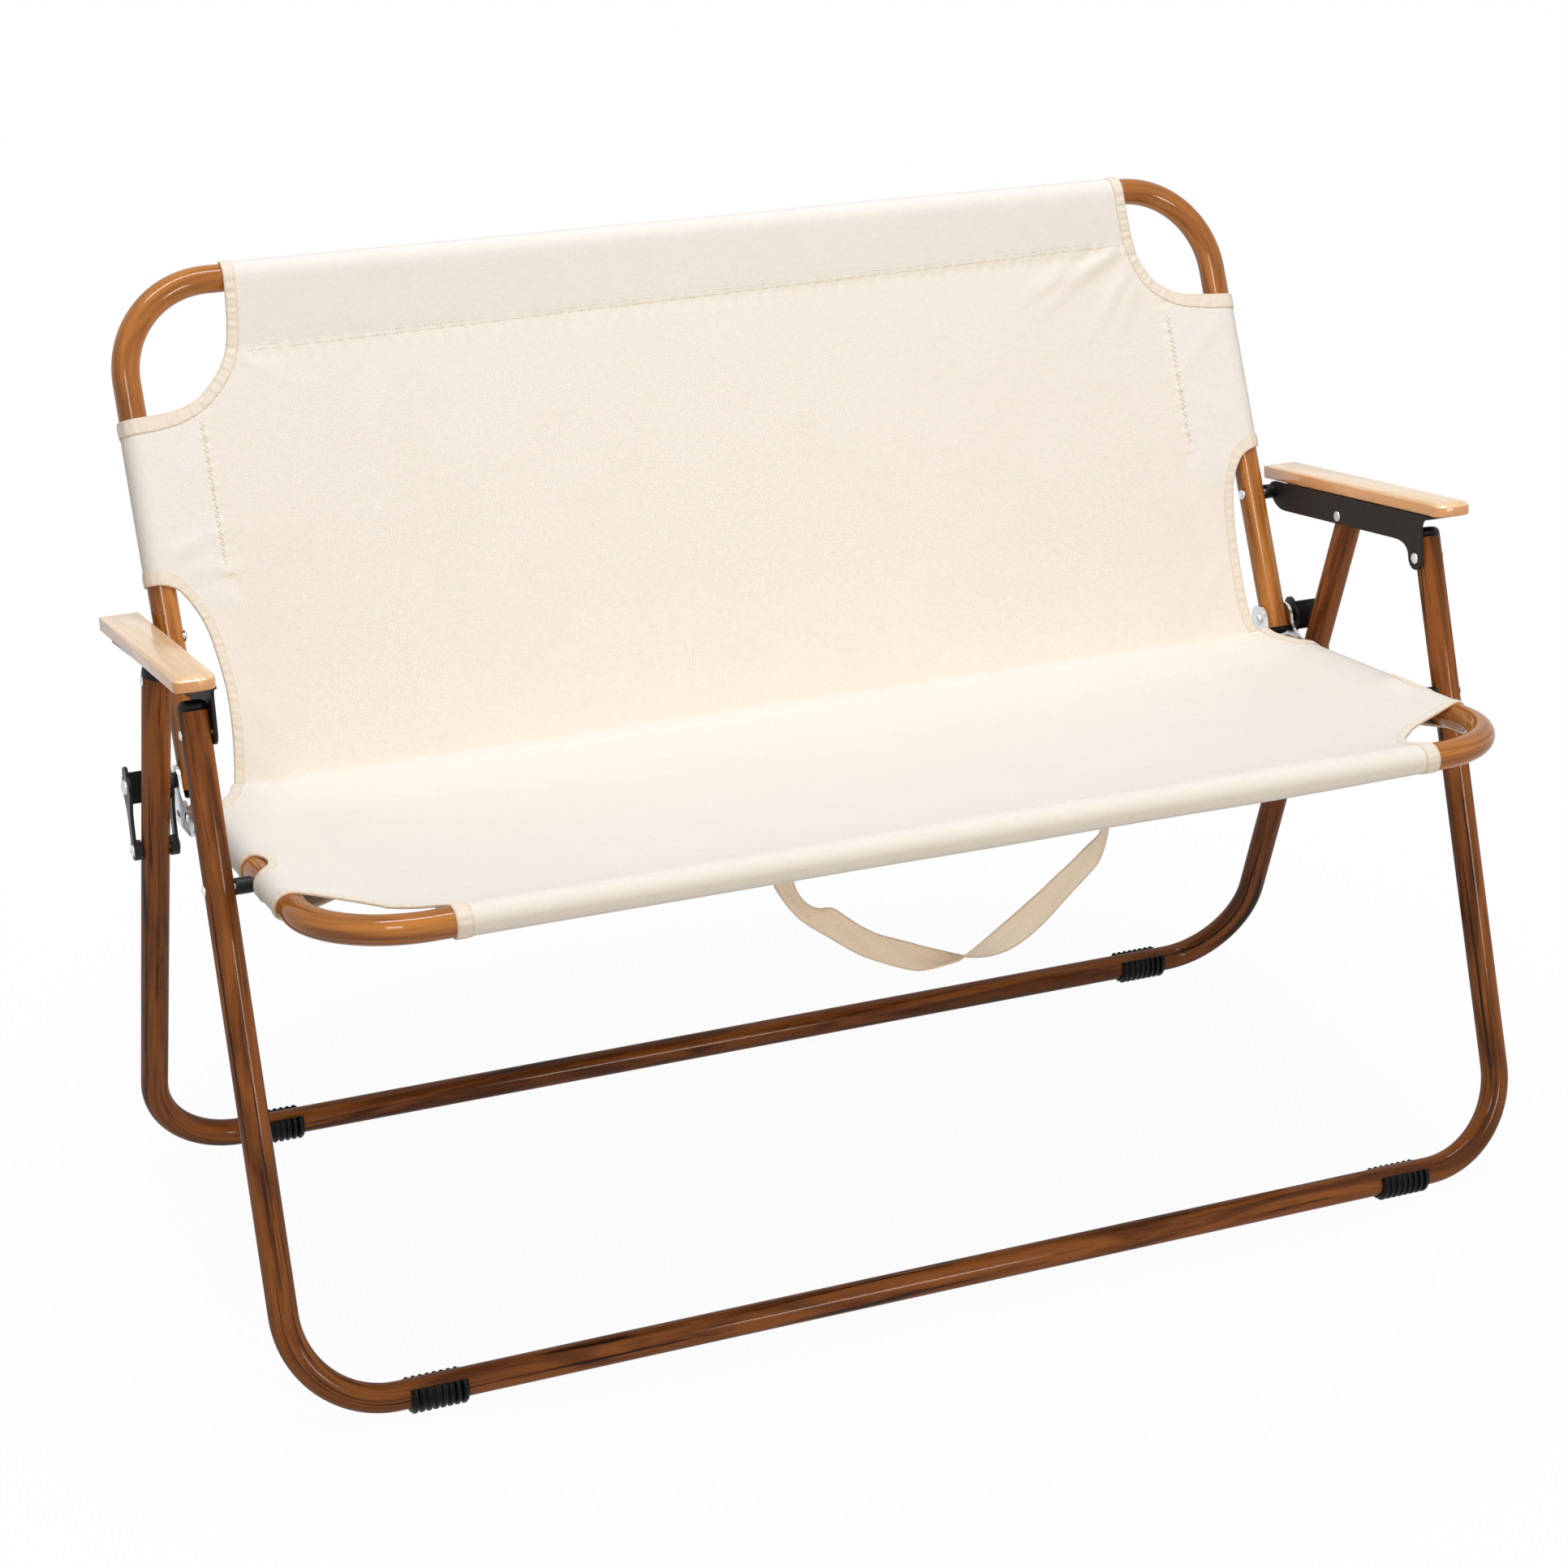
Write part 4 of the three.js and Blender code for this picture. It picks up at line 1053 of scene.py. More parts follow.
@dataclass
class Frames:
    """The four bent tubes and the caps in their ends."""

    view: SideView
    front_overhang: float = 0.0163
    rear_overhang: float = 0.0055
    front_cap: float = 0.008
    rear_cap: float = 0.0072
    back_cap: float = 0.0062
    seat_cap: float = 0.003
    cap_gap: float = 0.0001

    def parts(self) -> list[FramePart]:
        """The four frames."""
        view = self.view
        front_bar, rear_bar = np.array(view.front_bar), np.array(view.rear_bar)
        front, rear = np.array(view.front_pivot) - front_bar, np.array(view.rear_pivot) - rear_bar
        front_length, rear_length = np.linalg.norm(front), np.linalg.norm(rear)
        return [
            FramePart("front_leg", "front_legs", view.leg_x, front_bar, front / front_length,
                      front_length + self.front_overhang, LEG_FILM, self.front_cap),
            FramePart("rear_leg", "rear_legs", view.leg_x, rear_bar, rear / rear_length,
                      rear_length + self.rear_overhang, LEG_FILM, self.rear_cap),
            FramePart("seat", "seat", view.frame_x, view.seat_bar, -view.seat_forward,
                      view.seat_reach + view.seat_tail, FRAME_FILM, self.seat_cap),
            FramePart("backrest", "backrest", view.frame_x, view.back_bar, -view.back_up,
                      view.back_length + view.back_tail, FRAME_FILM, self.back_cap),
        ]

    def cap_shape(self) -> MeshData:
        """A domed cap of unit height on the tube's radius, its plug inside the tube."""
        r = self.view.tube_radius
        dome = ((1.0, 0.0), (1.0, 0.3), (0.97, 0.5), (0.88, 0.74), (0.7, 0.9), (0.4, 0.98), (0.0, 1.0))
        plug = ((0.0, -0.1), (0.6, -0.1), (1.015, 0.0))
        return lathe([(r * s, h) for s, h in (*plug, *dome)], 40)

    def build(self) -> None:
        """Builds the four frames and their caps."""
        for part in self.parts():
            tube = BentTube.bend(f"{part.name}_tube", part.corners(), self.view, part.finish)
            publish(tube, part.body, part.finish.name, f"{part.name}_frame")
            tip = part.bar + (part.length + self.cap_gap) * part.direction
            axis, size = (0.0, *part.direction), (1.0, 1.0, part.cap)
            places = [((side.value * part.half, *tip), axis, size) for side in Side]
            caps = Repeater.copies(f"{part.name}_caps", self.cap_shape(), places, BLACK_PLASTIC)
            publish(caps, part.body, "black_plastic", *(f"{part.name}_cap_{side.label}" for side in Side))


# Feet


@dataclass
class Feet:
    """Ribbed rubber clips round the floor bars."""

    view: SideView
    length: float = 0.043
    thickness: float = 0.003
    fit: float = 0.0002
    sunk: float = 0.0003
    rib: float = 0.0012
    rib_share: float = 0.3
    rounding: float = 0.0009
    ribs: int = 8
    steps: int = 40
    near_edge: float = math.radians(50)
    far_edge: float = math.radians(67)
    rear_far_edge: float = math.radians(54)
    x: float = 0.4097

    def shell(self, radius: float, half: float, start: float) -> MeshData:
        """A C-shaped shell about the Z axis, open towards +X, cut flat at the floor.

        Args:
            radius: Outer radius.
            half: Half its length.
            start: Angle of its far edge from the top.

        Returns:
            Vertices and faces.
        """
        steps = self.steps
        inner = self.view.tube_radius + self.fit
        end = 2 * math.pi - self.near_edge
        section: list[Point2] = []
        for i in range(steps + 1):
            angle = start + (end - start) * i / steps
            x, y = radius * math.cos(angle), radius * math.sin(angle)
            section.append((max(x, -(self.view.tube_radius + self.thickness)), y))
        for i in range(steps + 1):
            angle = end + (start - end) * i / steps
            section.append((inner * math.cos(angle), inner * math.sin(angle)))
        count = len(section)
        verts = [(x, y, z) for z in (-half, half) for x, y in section]
        faces: list[tuple[int, ...]] = []
        for i in range(count):
            j = (i + 1) % count
            faces.append((i, j, count + j, count + i))
        for i in range(steps):
            low = (i, count - 1 - i, count - 2 - i, i + 1)
            faces.append(low)
            faces.append(tuple(count + j for j in reversed(low)))
        return verts, faces

    def clip(self, name: str, bar: Sequence[float], side: Side) -> bpy.types.Object:
        """One clip: its shell, and the ribs that stand on it.

        Args:
            name: The piece's name.
            bar: Axis point (y, z) of the floor bar.
            side: The side of the bench.

        Returns:
            The clip.
        """
        outer = self.view.tube_radius + self.thickness
        turn = Matrix(((0, 0, 1), (0, 1, 0), (1, 0, 0))).to_4x4()
        start = self.far_edge if bar is self.view.front_bar else self.rear_far_edge
        pitch = self.length / self.ribs
        rib = self.shell(outer + self.rib, self.rib_share * pitch, start)

        def shell_at(label: str, shape: MeshData, x: float) -> bpy.types.Object:
            """Sets a shell round the bar."""
            shell = mesh_object(label, shape)
            shell.data.materials.append(RUBBER.material())
            shell.data.transform(Matrix.Translation((x, *bar)) @ turn)
            recalculate(shell)
            return shell

        middle = side.value * self.x
        pieces = [shell_at(name + "_base", self.shell(outer - self.sunk, self.length / 2, start), middle)]
        for i in range(self.ribs):
            ring = shell_at(name + "_rib", rib, middle + (i - (self.ribs - 1) / 2) * pitch)
            pieces.append(bevelled(ring, name + "_rib_done", self.rounding, math.radians(30)))
        return joined(name, pieces)

    def build(self) -> None:
        """Builds the four clips."""
        for end, bar in (("front", self.view.front_bar), ("rear", self.view.rear_bar)):
            for side in Side:
                clip = self.clip(f"clip_{end}_{side.label}", bar, side)
                publish(clip, f"{end}_legs", "foot_rubber", f"foot_{end}_{side.label}")


# Armrests


@dataclass
class Armrests:
    """Beech armrests with rounded, bevelled front ends."""

    view: SideView
    inner: float = 0.5007
    width: float = 0.0315
    low: float = 0.0369
    high: float = 0.0481
    rear: float = 0.2415
    tip: float = 0.0345
    left_drift: float = 0.0045
    edge: float = 0.0009
    nose_start: float = 0.014
    nose_length: float = 0.02
    nose_wide: float = 0.0034
    nose_deep: float = 0.0026
    rounding: float = 0.00045

    def to_bench(self, x: float, u: float, w: float) -> Point3:
        """Takes a point of the arm's own frame to the bench's.

        Args:
            x: Across the bench.
            u: Along the arm, from the front pivot to the rear.
            w: Square to the arm, upwards.

        Returns:
            The point.
        """
        c, s = math.cos(self.view.arm_slope), math.sin(self.view.arm_slope)
        y0, z0 = self.view.front_pivot
        return (x, y0 + c * u + s * w, z0 - s * u + c * w)

    def plan(self, side: Side) -> list[Point2]:
        """Outline of the armrest seen from above, as (x, u).

        Args:
            side: The side of the bench.

        Returns:
            The outline's points.
        """
        inner, outer = self.inner, self.inner + self.width
        points: list[Point2] = [(inner, self.rear)]

        def bend(a: Point2, b: Point2, c: Point2) -> None:
            """Adds a quadratic curve."""
            for i in range(17):
                t = i / 16
                x, u = ((1 - t) ** 2 * a[k] + 2 * t * (1 - t) * b[k] + t * t * c[k] for k in (0, 1))
                points.append((x, u))

        bend((inner, -0.024), (inner, -self.tip + 0.002), (inner + 0.011, -self.tip + 0.0005))
        bend((inner + 0.0125, -self.tip), (outer, -self.tip - 0.001), (outer, -0.028))
        points.append((outer, self.rear))
        drift = self.left_drift / self.rear if side is Side.LEFT else 0.0
        return [(side.value * (x - drift * max(u, 0.0)), u) for x, u in points]

    def wood(self, side: Side) -> bpy.types.Object:
        """One armrest: rings of its outline, drawn in towards the top at the nose.

        Args:
            side: The side of the bench.

        Returns:
            The armrest.
        """
        plan = np.array(self.plan(side))
        middle = np.array([side.value * (self.inner + self.width / 2), -0.012])
        heading = np.roll(plan, -1, axis=0) - np.roll(plan, 1, axis=0)
        inward = unit(np.stack([-heading[:, 1], heading[:, 0]], axis=1))
        inward *= np.sign(np.sum(inward * (middle - plan), axis=1))[:, None]
        for i, (x, u) in enumerate(plan):
            if u == self.rear:
                inward[i] = (np.sign(middle[0] - x), -1.0)
        nose = np.clip((-plan[:, 1] - self.nose_start) / self.nose_length, 0, 1)
        nose = nose * nose * (3 - 2 * nose)
        edge, level = self.edge, np.ones(len(plan))
        wide, deep = edge + self.nose_wide * nose, edge + self.nose_deep * nose
        rings = [(edge, self.low * level), (0.0, (self.low + edge) * level),
                 (0.0, self.high - deep), (wide, self.high * level)]
        verts: list[Point3] = []
        for inset, height in rings:
            spots = plan + inward * np.reshape(inset, (-1, 1))
            verts += [self.to_bench(x, u, w) for (x, u), w in zip(spots, height)]
        count = len(plan)
        faces: list[tuple[int, ...]] = [tuple(range(count)), tuple(range(4 * count - 1, 3 * count - 1, -1))]
        for low in range(0, 3 * count, count):
            for i in range(count):
                j = (i + 1) % count
                faces.append((low + i, low + j, low + count + j, low + count + i))
        piece = mesh_object(f"beech_armrest_{side.label}", (verts, faces), False)
        recalculate(piece)
        piece = bevelled(piece, piece.name, self.rounding, math.radians(25))
        piece.data.polygons.foreach_set("use_smooth", [True] * len(piece.data.polygons))
        piece.data.set_sharp_from_angle(angle=math.radians(24))
        piece.data.materials.append(Beech(self.view.arm_slope).material())
        return piece

    def build(self) -> None:
        """Builds both armrests."""
        for side in Side:
            publish(self.wood(side), f"arm_{side.label}", "beech", f"armrest_{side.label}")


# Sling


@dataclass(frozen=True)
class Cuts:
    """Edges of the canvas on one side of the bench, each point by its |x|.

    With |x| goes the height along the back from the hinge for upper and lower,
    and the distance ahead of the seat's pivot for turn, notch and corner. bar
    holds the |x| at which the sleeves of the top and the front bar end.
    """

    bar: Point2
    upper: tuple[Point2, ...]
    lower: tuple[Point2, ...]
    turn: tuple[Point2, ...]
    notch: tuple[Point2, ...]
    corner: tuple[Point2, ...]


@dataclass(frozen=True)
class Crease:
    """A drag line in the cloth: its start and its run (u, height from the hinge)."""

    start: Point2
    run: Point2
    width: float
    depth: float


CUTS = {
    Side.RIGHT: Cuts(
        bar=(0.3982, 0.3995),
        upper=(
            (0.3985, 0.3917), (0.3998, 0.3737), (0.402, 0.3522), (0.4052, 0.3342), (0.4095, 0.3195),
            (0.4184, 0.3044), (0.4311, 0.2933), (0.4446, 0.2878), (0.4618, 0.2861), (0.4731, 0.2844),
            (0.486, 0.2838),
        ),
        lower=(
            (0.486, 0.1495), (0.4776, 0.1467), (0.4695, 0.1429), (0.4613, 0.1298), (0.4567, 0.1162),
            (0.4523, 0.0882), (0.4505, 0.0456), (0.4508, 0.0099), (0.4543, -0.0057), (0.459, -0.0128),
        ),
        turn=(
            (0.4655, -0.2085), (0.4646, -0.195), (0.4676, -0.184), (0.4703, -0.1776), (0.4745, -0.166),
            (0.486, -0.158),
        ),
        notch=(
            (0.486, -0.027), (0.4805, -0.024), (0.4785, -0.014), (0.4785, 0.002), (0.4805, 0.012),
            (0.486, 0.016),
        ),
        corner=(
            (0.486, 0.066), (0.4727, 0.0695), (0.464, 0.0724), (0.4449, 0.0787), (0.4307, 0.0833),
            (0.4219, 0.0889), (0.4129, 0.0971), (0.406, 0.106), (0.4035, 0.116), (0.3978, 0.1343),
            (0.3963, 0.148),
        ),
    ),
    Side.LEFT: Cuts(
        bar=(0.3905, 0.388),
        upper=(
            (0.3922, 0.3954), (0.3921, 0.3818), (0.3923, 0.3708), (0.3935, 0.3465), (0.3966, 0.3275),
            (0.4024, 0.3152), (0.4115, 0.3033), (0.4207, 0.2946), (0.4284, 0.2887), (0.4427, 0.2832),
            (0.4563, 0.281), (0.4696, 0.280), (0.486, 0.2785),
        ),
        lower=(
            (0.486, 0.1497), (0.4762, 0.1484), (0.4659, 0.1436), (0.4565, 0.1293), (0.4484, 0.1112),
            (0.4443, 0.0853), (0.4417, 0.0627), (0.4427, 0.0309), (0.4458, 0.0058), (0.4487, -0.011),
        ),
        turn=(
            (0.4520, -0.205), (0.4561, -0.1928), (0.4645, -0.179), (0.4713, -0.1655), (0.486, -0.158),
        ),
        notch=(
            (0.486, -0.031), (0.4785, -0.0285), (0.4748, -0.019), (0.4745, -0.006), (0.478, 0.005),
            (0.486, 0.009),
        ),
        corner=(
            (0.486, 0.070), (0.4769, 0.0708), (0.4663, 0.0738), (0.4568, 0.0793), (0.4467, 0.0845),
            (0.4361, 0.0905), (0.4256, 0.0972), (0.4166, 0.1045), (0.4080, 0.1125), (0.4005, 0.1210),
            (0.3945, 0.1310), (0.3905, 0.1410), (0.389, 0.151),
        ),
    ),
}
# Points of the tape's section: share across its width, lift, and share of the third colour, which paints
# shade along the tape's edges.
TAPE_SECTION = (
    (0.0, 0.0, 1.0), (0.03, 0.9, 1.0), (0.1, 1.0, 0.5), (0.22, 1.05, 0.0), (0.5, 1.1, 0.0),
    (0.78, 1.0, 0.0), (0.9, 0.95, 0.4), (0.97, 0.85, 1.0), (1.0, 0.3, 1.0), (1.0, -0.3, 1.0),
    (0.97, -0.85, 1.0), (0.5, -1.1, 0.0), (0.03, -0.9, 1.0),
)
CREASES = (
    Crease((0.392, 0.330), (-0.11, -0.030), 0.006, 0.0014),
    Crease((0.378, 0.330), (-0.09, -0.055), 0.005, 0.0011),
    Crease((0.398, 0.318), (-0.05, -0.060), 0.006, 0.0013),
    Crease((0.345, 0.332), (-0.06, -0.045), 0.006, 0.0008),
    Crease((0.400, 0.300), (-0.03, -0.050), 0.005, 0.0009),
    Crease((0.330, 0.377), (0.03, -0.040), 0.005, 0.0007),
    Crease((0.290, 0.376), (0.03, -0.036), 0.006, 0.0006),
    Crease((0.372, 0.372), (0.012, -0.034), 0.004, 0.0007),
    Crease((-0.468, 0.172), (0.06, 0.020), 0.005, 0.0012),
    Crease((-0.452, 0.158), (0.05, -0.004), 0.005, 0.0010),
    Crease((-0.440, 0.140), (0.03, -0.020), 0.005, 0.0008),
    Crease((-0.385, 0.318), (0.07, -0.040), 0.007, 0.0006),
    Crease((0.470, 0.262), (-0.05, -0.05), 0.006, 0.0007),
    Crease((0.462, 0.180), (-0.04, 0.03), 0.006, 0.0007),
    Crease((-0.425, 0.060), (0.03, -0.06), 0.006, 0.0007),
    Crease((-0.428, 0.010), (0.035, -0.03), 0.006, 0.0008),
    Crease((0.432, 0.050), (-0.03, -0.05), 0.006, 0.0007),
    Crease((0.440, -0.002), (-0.04, -0.012), 0.005, 0.0008),
)


@dataclass
class Sling:
    """The canvas: one sheet over the top bar, down the back and over the seat.

    Its flat pattern has u across and l along, from the seam behind the top bar
    to the seam under the front bar.
    """

    view: SideView
    thickness: float = 0.0009
    round_tube: float = 0.0117
    panel: float = 0.0006
    side_reach: float = 0.058
    top_reach: float = 0.055
    front_reach: float = 0.043
    crease_height: float = -0.0145
    crease_bend: float = 0.004
    flat_from: float = 0.152
    seam_bend: float = 0.014
    profile_step: float = 0.001
    spacing: float = 0.0056
    fine_spacing: float = 0.0023
    seam_clear: float = 0.0012
    edge_clear: float = 0.0016
    seam_left: Point2 = (-0.3845, 0.3250)
    seam_right: Point2 = (0.3814, 0.3379)
    seam_half: float = 0.43
    wing_seam: float = 0.4265
    wing_foot: float = 0.12
    wing_rows: Point2 = (0.145, 0.292)
    wing_stitches: Point2 = (0.160, 0.274)
    lap: float = 0.0003
    lap_slope: float = 0.0008
    back_sag: float = 0.0018
    seat_sag: float = 0.0028
    pucker: float = 0.00042
    groove: float = 0.0003
    crease_gain: float = 1.6
    notch_lift: Point2 = (0.0018, 0.0046)
    notch_spot: Point2 = (0.468, -0.008)
    notch_reach: Point2 = (0.011, 0.019)
    hinge_half: float = 0.022
    panel_half: float = 0.42
    sleeve_step: float = 0.018
    corner_foot: float = 0.166
    wave_seed: int = 7
    waves: int = 16
    unevenness: float = 0.00011
    tape_half: float = 0.00098
    tape_step: float = 0.0014
    tape_past_edge: float = 0.0002
    tape_fray: float = 0.00022
    stitch_radius: float = 0.00035
    seam_stitch: float = 0.0026
    seam_pitch: float = 0.0034
    zigzag_pitch: float = 0.0021
    side_line: np.ndarray = field(init=False)
    side_run: np.ndarray = field(init=False)
    long_line: np.ndarray = field(init=False)
    long_run: np.ndarray = field(init=False)
    marks: dict[str, float] = field(init=False)
    ring: np.ndarray = field(init=False)

    def __post_init__(self) -> None:
        """Lays out both profiles of the sheet and its outline."""
        self.side_line = self.sleeve_profile(self.side_reach, self.view.frame_x)
        self.side_run = run_of(self.side_line)
        self.long_line, self.marks = self.long_profile()
        self.long_run = run_of(self.long_line)
        self.ring = self.outline()

    def sleeve_profile(self, reach: float, axis: float) -> np.ndarray:
        """Profile of a sleeve: out to its tube, round it and back to the seam.

        Args:
            reach: Distance from the tube's axis to the seam.
            axis: Distance of the tube's axis from the middle.

        Returns:
            Points (distance from the middle, height over the panel's plane).
        """
        r, h = self.round_tube, self.panel
        slant = math.hypot(reach, h)
        touch = math.acos(r / slant) + math.atan2(h, reach)
        angles = np.linspace(math.pi - touch, touch - math.pi, 25)
        arc = np.stack([axis + r * np.cos(angles), r * np.sin(angles)], axis=1)
        ramp = np.linspace([axis - reach, h], arc[0], 12)[:-1]
        back = np.linspace(arc[-1], [axis - reach, -h], 12)[1:]
        return np.vstack([[[0.0, h]], ramp, arc, back])

    def long_profile(self) -> tuple[np.ndarray, dict[str, float]]:
        """Profile of the sheet from the top bar's seam to the front bar's.

        Returns:
            Points (y, z), and the distances along it of the hinge line, the
            seat's pivot and the end.
        """
        view = self.view
        top = self.sleeve_profile(self.top_reach, view.back_length)[::-1]
        back = [view.back_foot + s * view.back_up + h * view.back_front for s, h in top[:-1]]
        corner = view.back_foot + self.crease_height * view.back_up + self.panel * view.back_front
        front = self.sleeve_profile(self.front_reach, view.seat_reach)
        seat = [np.array(view.seat_pivot) + a * view.seat_forward + h * view.seat_up for a, h in front[1:]]
        flat = np.array(view.seat_pivot) - self.flat_from * view.seat_forward + self.panel * view.seat_up
        mid = [back[-1] + t * (corner - back[-1]) for t in np.linspace(0, 1, 90)[1:-1]]
        rise = [corner + t * (flat - corner) for t in np.linspace(0, 1, 20)[1:-1]]
        run = [flat + t * (seat[0] - flat) for t in np.linspace(0, 1, 60)[1:-1]]
        line = np.array([*back, *mid, corner, *rise, flat, *run, *seat])
        line = resampled(line, self.profile_step)
        for place, bend in ((corner, self.crease_bend), (seat[0], self.seam_bend)):
            index = int(np.argmin(np.linalg.norm(line - place, axis=1)))
            reach = int(bend / self.profile_step)
            a, b, c = line[index - reach].copy(), line[index].copy(), line[index + reach].copy()
            for i in range(-reach, reach + 1):
                t = (i + reach) / (2 * reach)
                line[index + i] = (1 - t) ** 2 * a + 2 * t * (1 - t) * b + t * t * c
        lengths = run_of(line)

        def at(point: np.ndarray) -> float:
            """Distance along the profile of the point nearest to one given."""
            return float(lengths[int(np.argmin(np.linalg.norm(line - point, axis=1)))])

        marks = {
            "hinge": at(view.back_foot + self.panel * view.back_front),
            "pivot": at(np.array(view.seat_pivot) + self.panel * view.seat_up),
            "end": float(lengths[-1]),
        }
        return line, marks

    def at_back(self, x: float, s: float) -> Point2:
        """Flat pattern point for a place on the back.

        Args:
            x: Across the bench.
            s: Height along the back from the hinge.

        Returns:
            The point (u, l).
        """
        return (self.across(x), self.marks["hinge"] - s)

    def at_seat(self, x: float, a: float) -> Point2:
        """Flat pattern point for a place on the seat.

        Args:
            x: Across the bench.
            a: Distance ahead of the seat's pivot.

        Returns:
            The point (u, l).
        """
        return (self.across(x), self.marks["pivot"] + a)

    def across(self, x: float) -> float:
        """Distance across the flat pattern of a place seen at x."""
        outer = int(np.argmax(self.side_line[:, 0]))
        size = float(np.interp(abs(x), self.side_line[: outer + 1, 0], self.side_run[: outer + 1]))
        return math.copysign(size, x)

    @property
    def flap(self) -> float:
        """Distance across the flat pattern of the seam behind a side tube."""
        return float(self.side_run[-1])

    def seam_line(self, u: np.ndarray) -> np.ndarray:
        """Distance along the pattern of the top band's seam, which slants a little."""
        share = (u - self.seam_left[0]) / (self.seam_right[0] - self.seam_left[0])
        return self.marks["hinge"] - (self.seam_left[1] + share * (self.seam_right[1] - self.seam_left[1]))

    def doubled(self, u: np.ndarray, l: np.ndarray) -> np.ndarray:
        """Where the cloth lies double: 1 on the top band and on the wings.

        Args:
            u: Across the pattern.
            l: Along the pattern.

        Returns:
            The share of double cloth at each point.
        """
        band = np.clip((self.seam_line(u) - l) / self.lap_slope + 0.5, 0, 1)
        wing = np.clip((np.abs(u) - self.across(self.wing_seam)) / self.lap_slope + 0.5, 0, 1)
        return np.maximum(band, wing * (l < self.marks["hinge"] - self.wing_foot))

    def relief(self, u: np.ndarray, l: np.ndarray) -> np.ndarray:
        """Height of sag, laps, puckers and creases over the flat sheet.

        Args:
            u: Across the pattern.
            l: Along the pattern.

        Returns:
            Heights in metres.
        """
        across = (np.abs(u) - self.across(self.notch_spot[0])) / self.notch_reach[0]
        along = (l - self.marks["pivot"] - self.notch_spot[1]) / self.notch_reach[1]
        lifted = np.where(u > 0, self.notch_lift[1], self.notch_lift[0])
        height = self.sag(u, l) + self.lap * self.doubled(u, l) + self.puckers(u, l)
        height += lifted * np.exp(-(across ** 2 + along ** 2))
        return height + self.drag_lines(u, l)

    def sag(self, u: np.ndarray, l: np.ndarray) -> np.ndarray:
        """Height of the slack between the tubes and of the cloth's slow unevenness.

        Args:
            u: Across the pattern.
            l: Along the pattern.

        Returns:
            Heights in metres.
        """
        s, a = self.marks["hinge"] - l, l - self.marks["pivot"]
        inside = np.clip(1 - (np.abs(u) / self.panel_half) ** 4, 0, 1)
        on_back = np.clip(np.sin(np.pi * np.clip(s / 0.33, 0, 1)), 0, 1)
        on_seat = np.clip(np.sin(np.pi * np.clip((a + 0.21) / 0.34, 0, 1)), 0, 1)
        height = -self.back_sag * inside * on_back - self.seat_sag * inside * on_seat
        rng = np.random.default_rng(self.wave_seed)
        for _ in range(self.waves):
            ku, kl = rng.normal(0, 15, 2)
            height += self.unevenness * np.sin(ku * u + kl * l + rng.uniform(0, 6.28)) * (inside > 0)
        return height

    def puckers(self, u: np.ndarray, l: np.ndarray) -> np.ndarray:
        """Height of the ripples along the seams of the top band and the wings.

        Args:
            u: Across the pattern.
            l: Along the pattern.

        Returns:
            Heights in metres.
        """
        s, size = self.marks["hinge"] - l, np.abs(u)
        off = l - self.seam_line(u)
        wave = np.sin(u * 2 * np.pi / 0.0101 + 1.7 * np.sin(u * 63))
        wave += 0.7 * np.sin(u * 2 * np.pi / 0.0167 + 1)
        top = self.pucker * wave * np.exp(-(((off - 0.003) / 0.0055) ** 2))
        top -= self.groove * np.exp(-(((off + 0.0032) / 0.0011) ** 2))
        column = (s > self.wing_rows[0]) & (s < self.wing_rows[1]) & (size < 0.47)
        gap = size - self.across(self.wing_seam)
        ripple = np.sin(l * 2 * np.pi / 0.0079 + 2 * np.sin(l * 47)) + 0.6 * np.sin(l * 2 * np.pi / 0.0133)
        wing = self.pucker * ripple * np.exp(-(((gap + 0.0025) / 0.0042) ** 2))
        return top * (size < self.seam_half) + wing * column

    def drag_lines(self, u: np.ndarray, l: np.ndarray) -> np.ndarray:
        """Height of the creases that the pull of the corners draws.

        Args:
            u: Across the pattern.
            l: Along the pattern.

        Returns:
            Heights in metres.
        """
        height = np.zeros(len(u))
        for crease in CREASES:
            length = math.hypot(*crease.run)
            tu, ts = crease.run[0] / length, crease.run[1] / length
            du, ds = u - crease.start[0], self.marks["hinge"] - l - crease.start[1]
            run = (du * tu + ds * ts) / length
            gap = du * ts - ds * tu
            fade = np.where((run > -0.1) & (run < 1), np.clip(1 - np.abs(run - 0.25) / 0.8, 0, 1), 0)
            height += self.crease_gain * crease.depth * fade * np.exp(-((gap / crease.width) ** 2))
        return height

    @staticmethod
    def along(line: np.ndarray, run: np.ndarray, at: np.ndarray) -> tuple[np.ndarray, np.ndarray]:
        """Both coordinates of a profile at distances along it."""
        return np.interp(at, run, line[:, 0]), np.interp(at, run, line[:, 1])

    def place(self, u: np.ndarray, l: np.ndarray, lift: float = 0.0) -> np.ndarray:
        """Takes flat pattern points to their places in the round.

        Args:
            u: Across the pattern.
            l: Along the pattern.
            lift: Height over the sheet's own surface.

        Returns:
            Points, one row each.
        """
        side_step, long_step = 0.0005, 0.0015
        side = (self.side_line, self.side_run)
        size = np.clip(np.abs(u), 0, self.side_run[-1])
        x, rise = self.along(*side, size)
        x_next, rise_next = self.along(*side, size + side_step)
        x_last, rise_last = self.along(*side, size - side_step)
        lean = np.arctan2(rise_next - rise_last, x_next - x_last)
        profile = (self.long_line, self.long_run)
        y, z = self.along(*profile, l)
        y_next, z_next = self.along(*profile, l + long_step)
        y_last, z_last = self.along(*profile, l - long_step)
        length = np.maximum(np.hypot(y_next - y_last, z_next - z_last), TINY)
        ny, nz = (z_next - z_last) / length, (y_last - y_next) / length
        height = self.relief(u, l) + lift
        out_x = -np.sin(lean) * np.sign(u) * height
        out_n = np.cos(lean) * height + (rise - self.panel)
        return np.stack([x * np.sign(u) + out_x, y + ny * out_n, z + nz * out_n], axis=1)

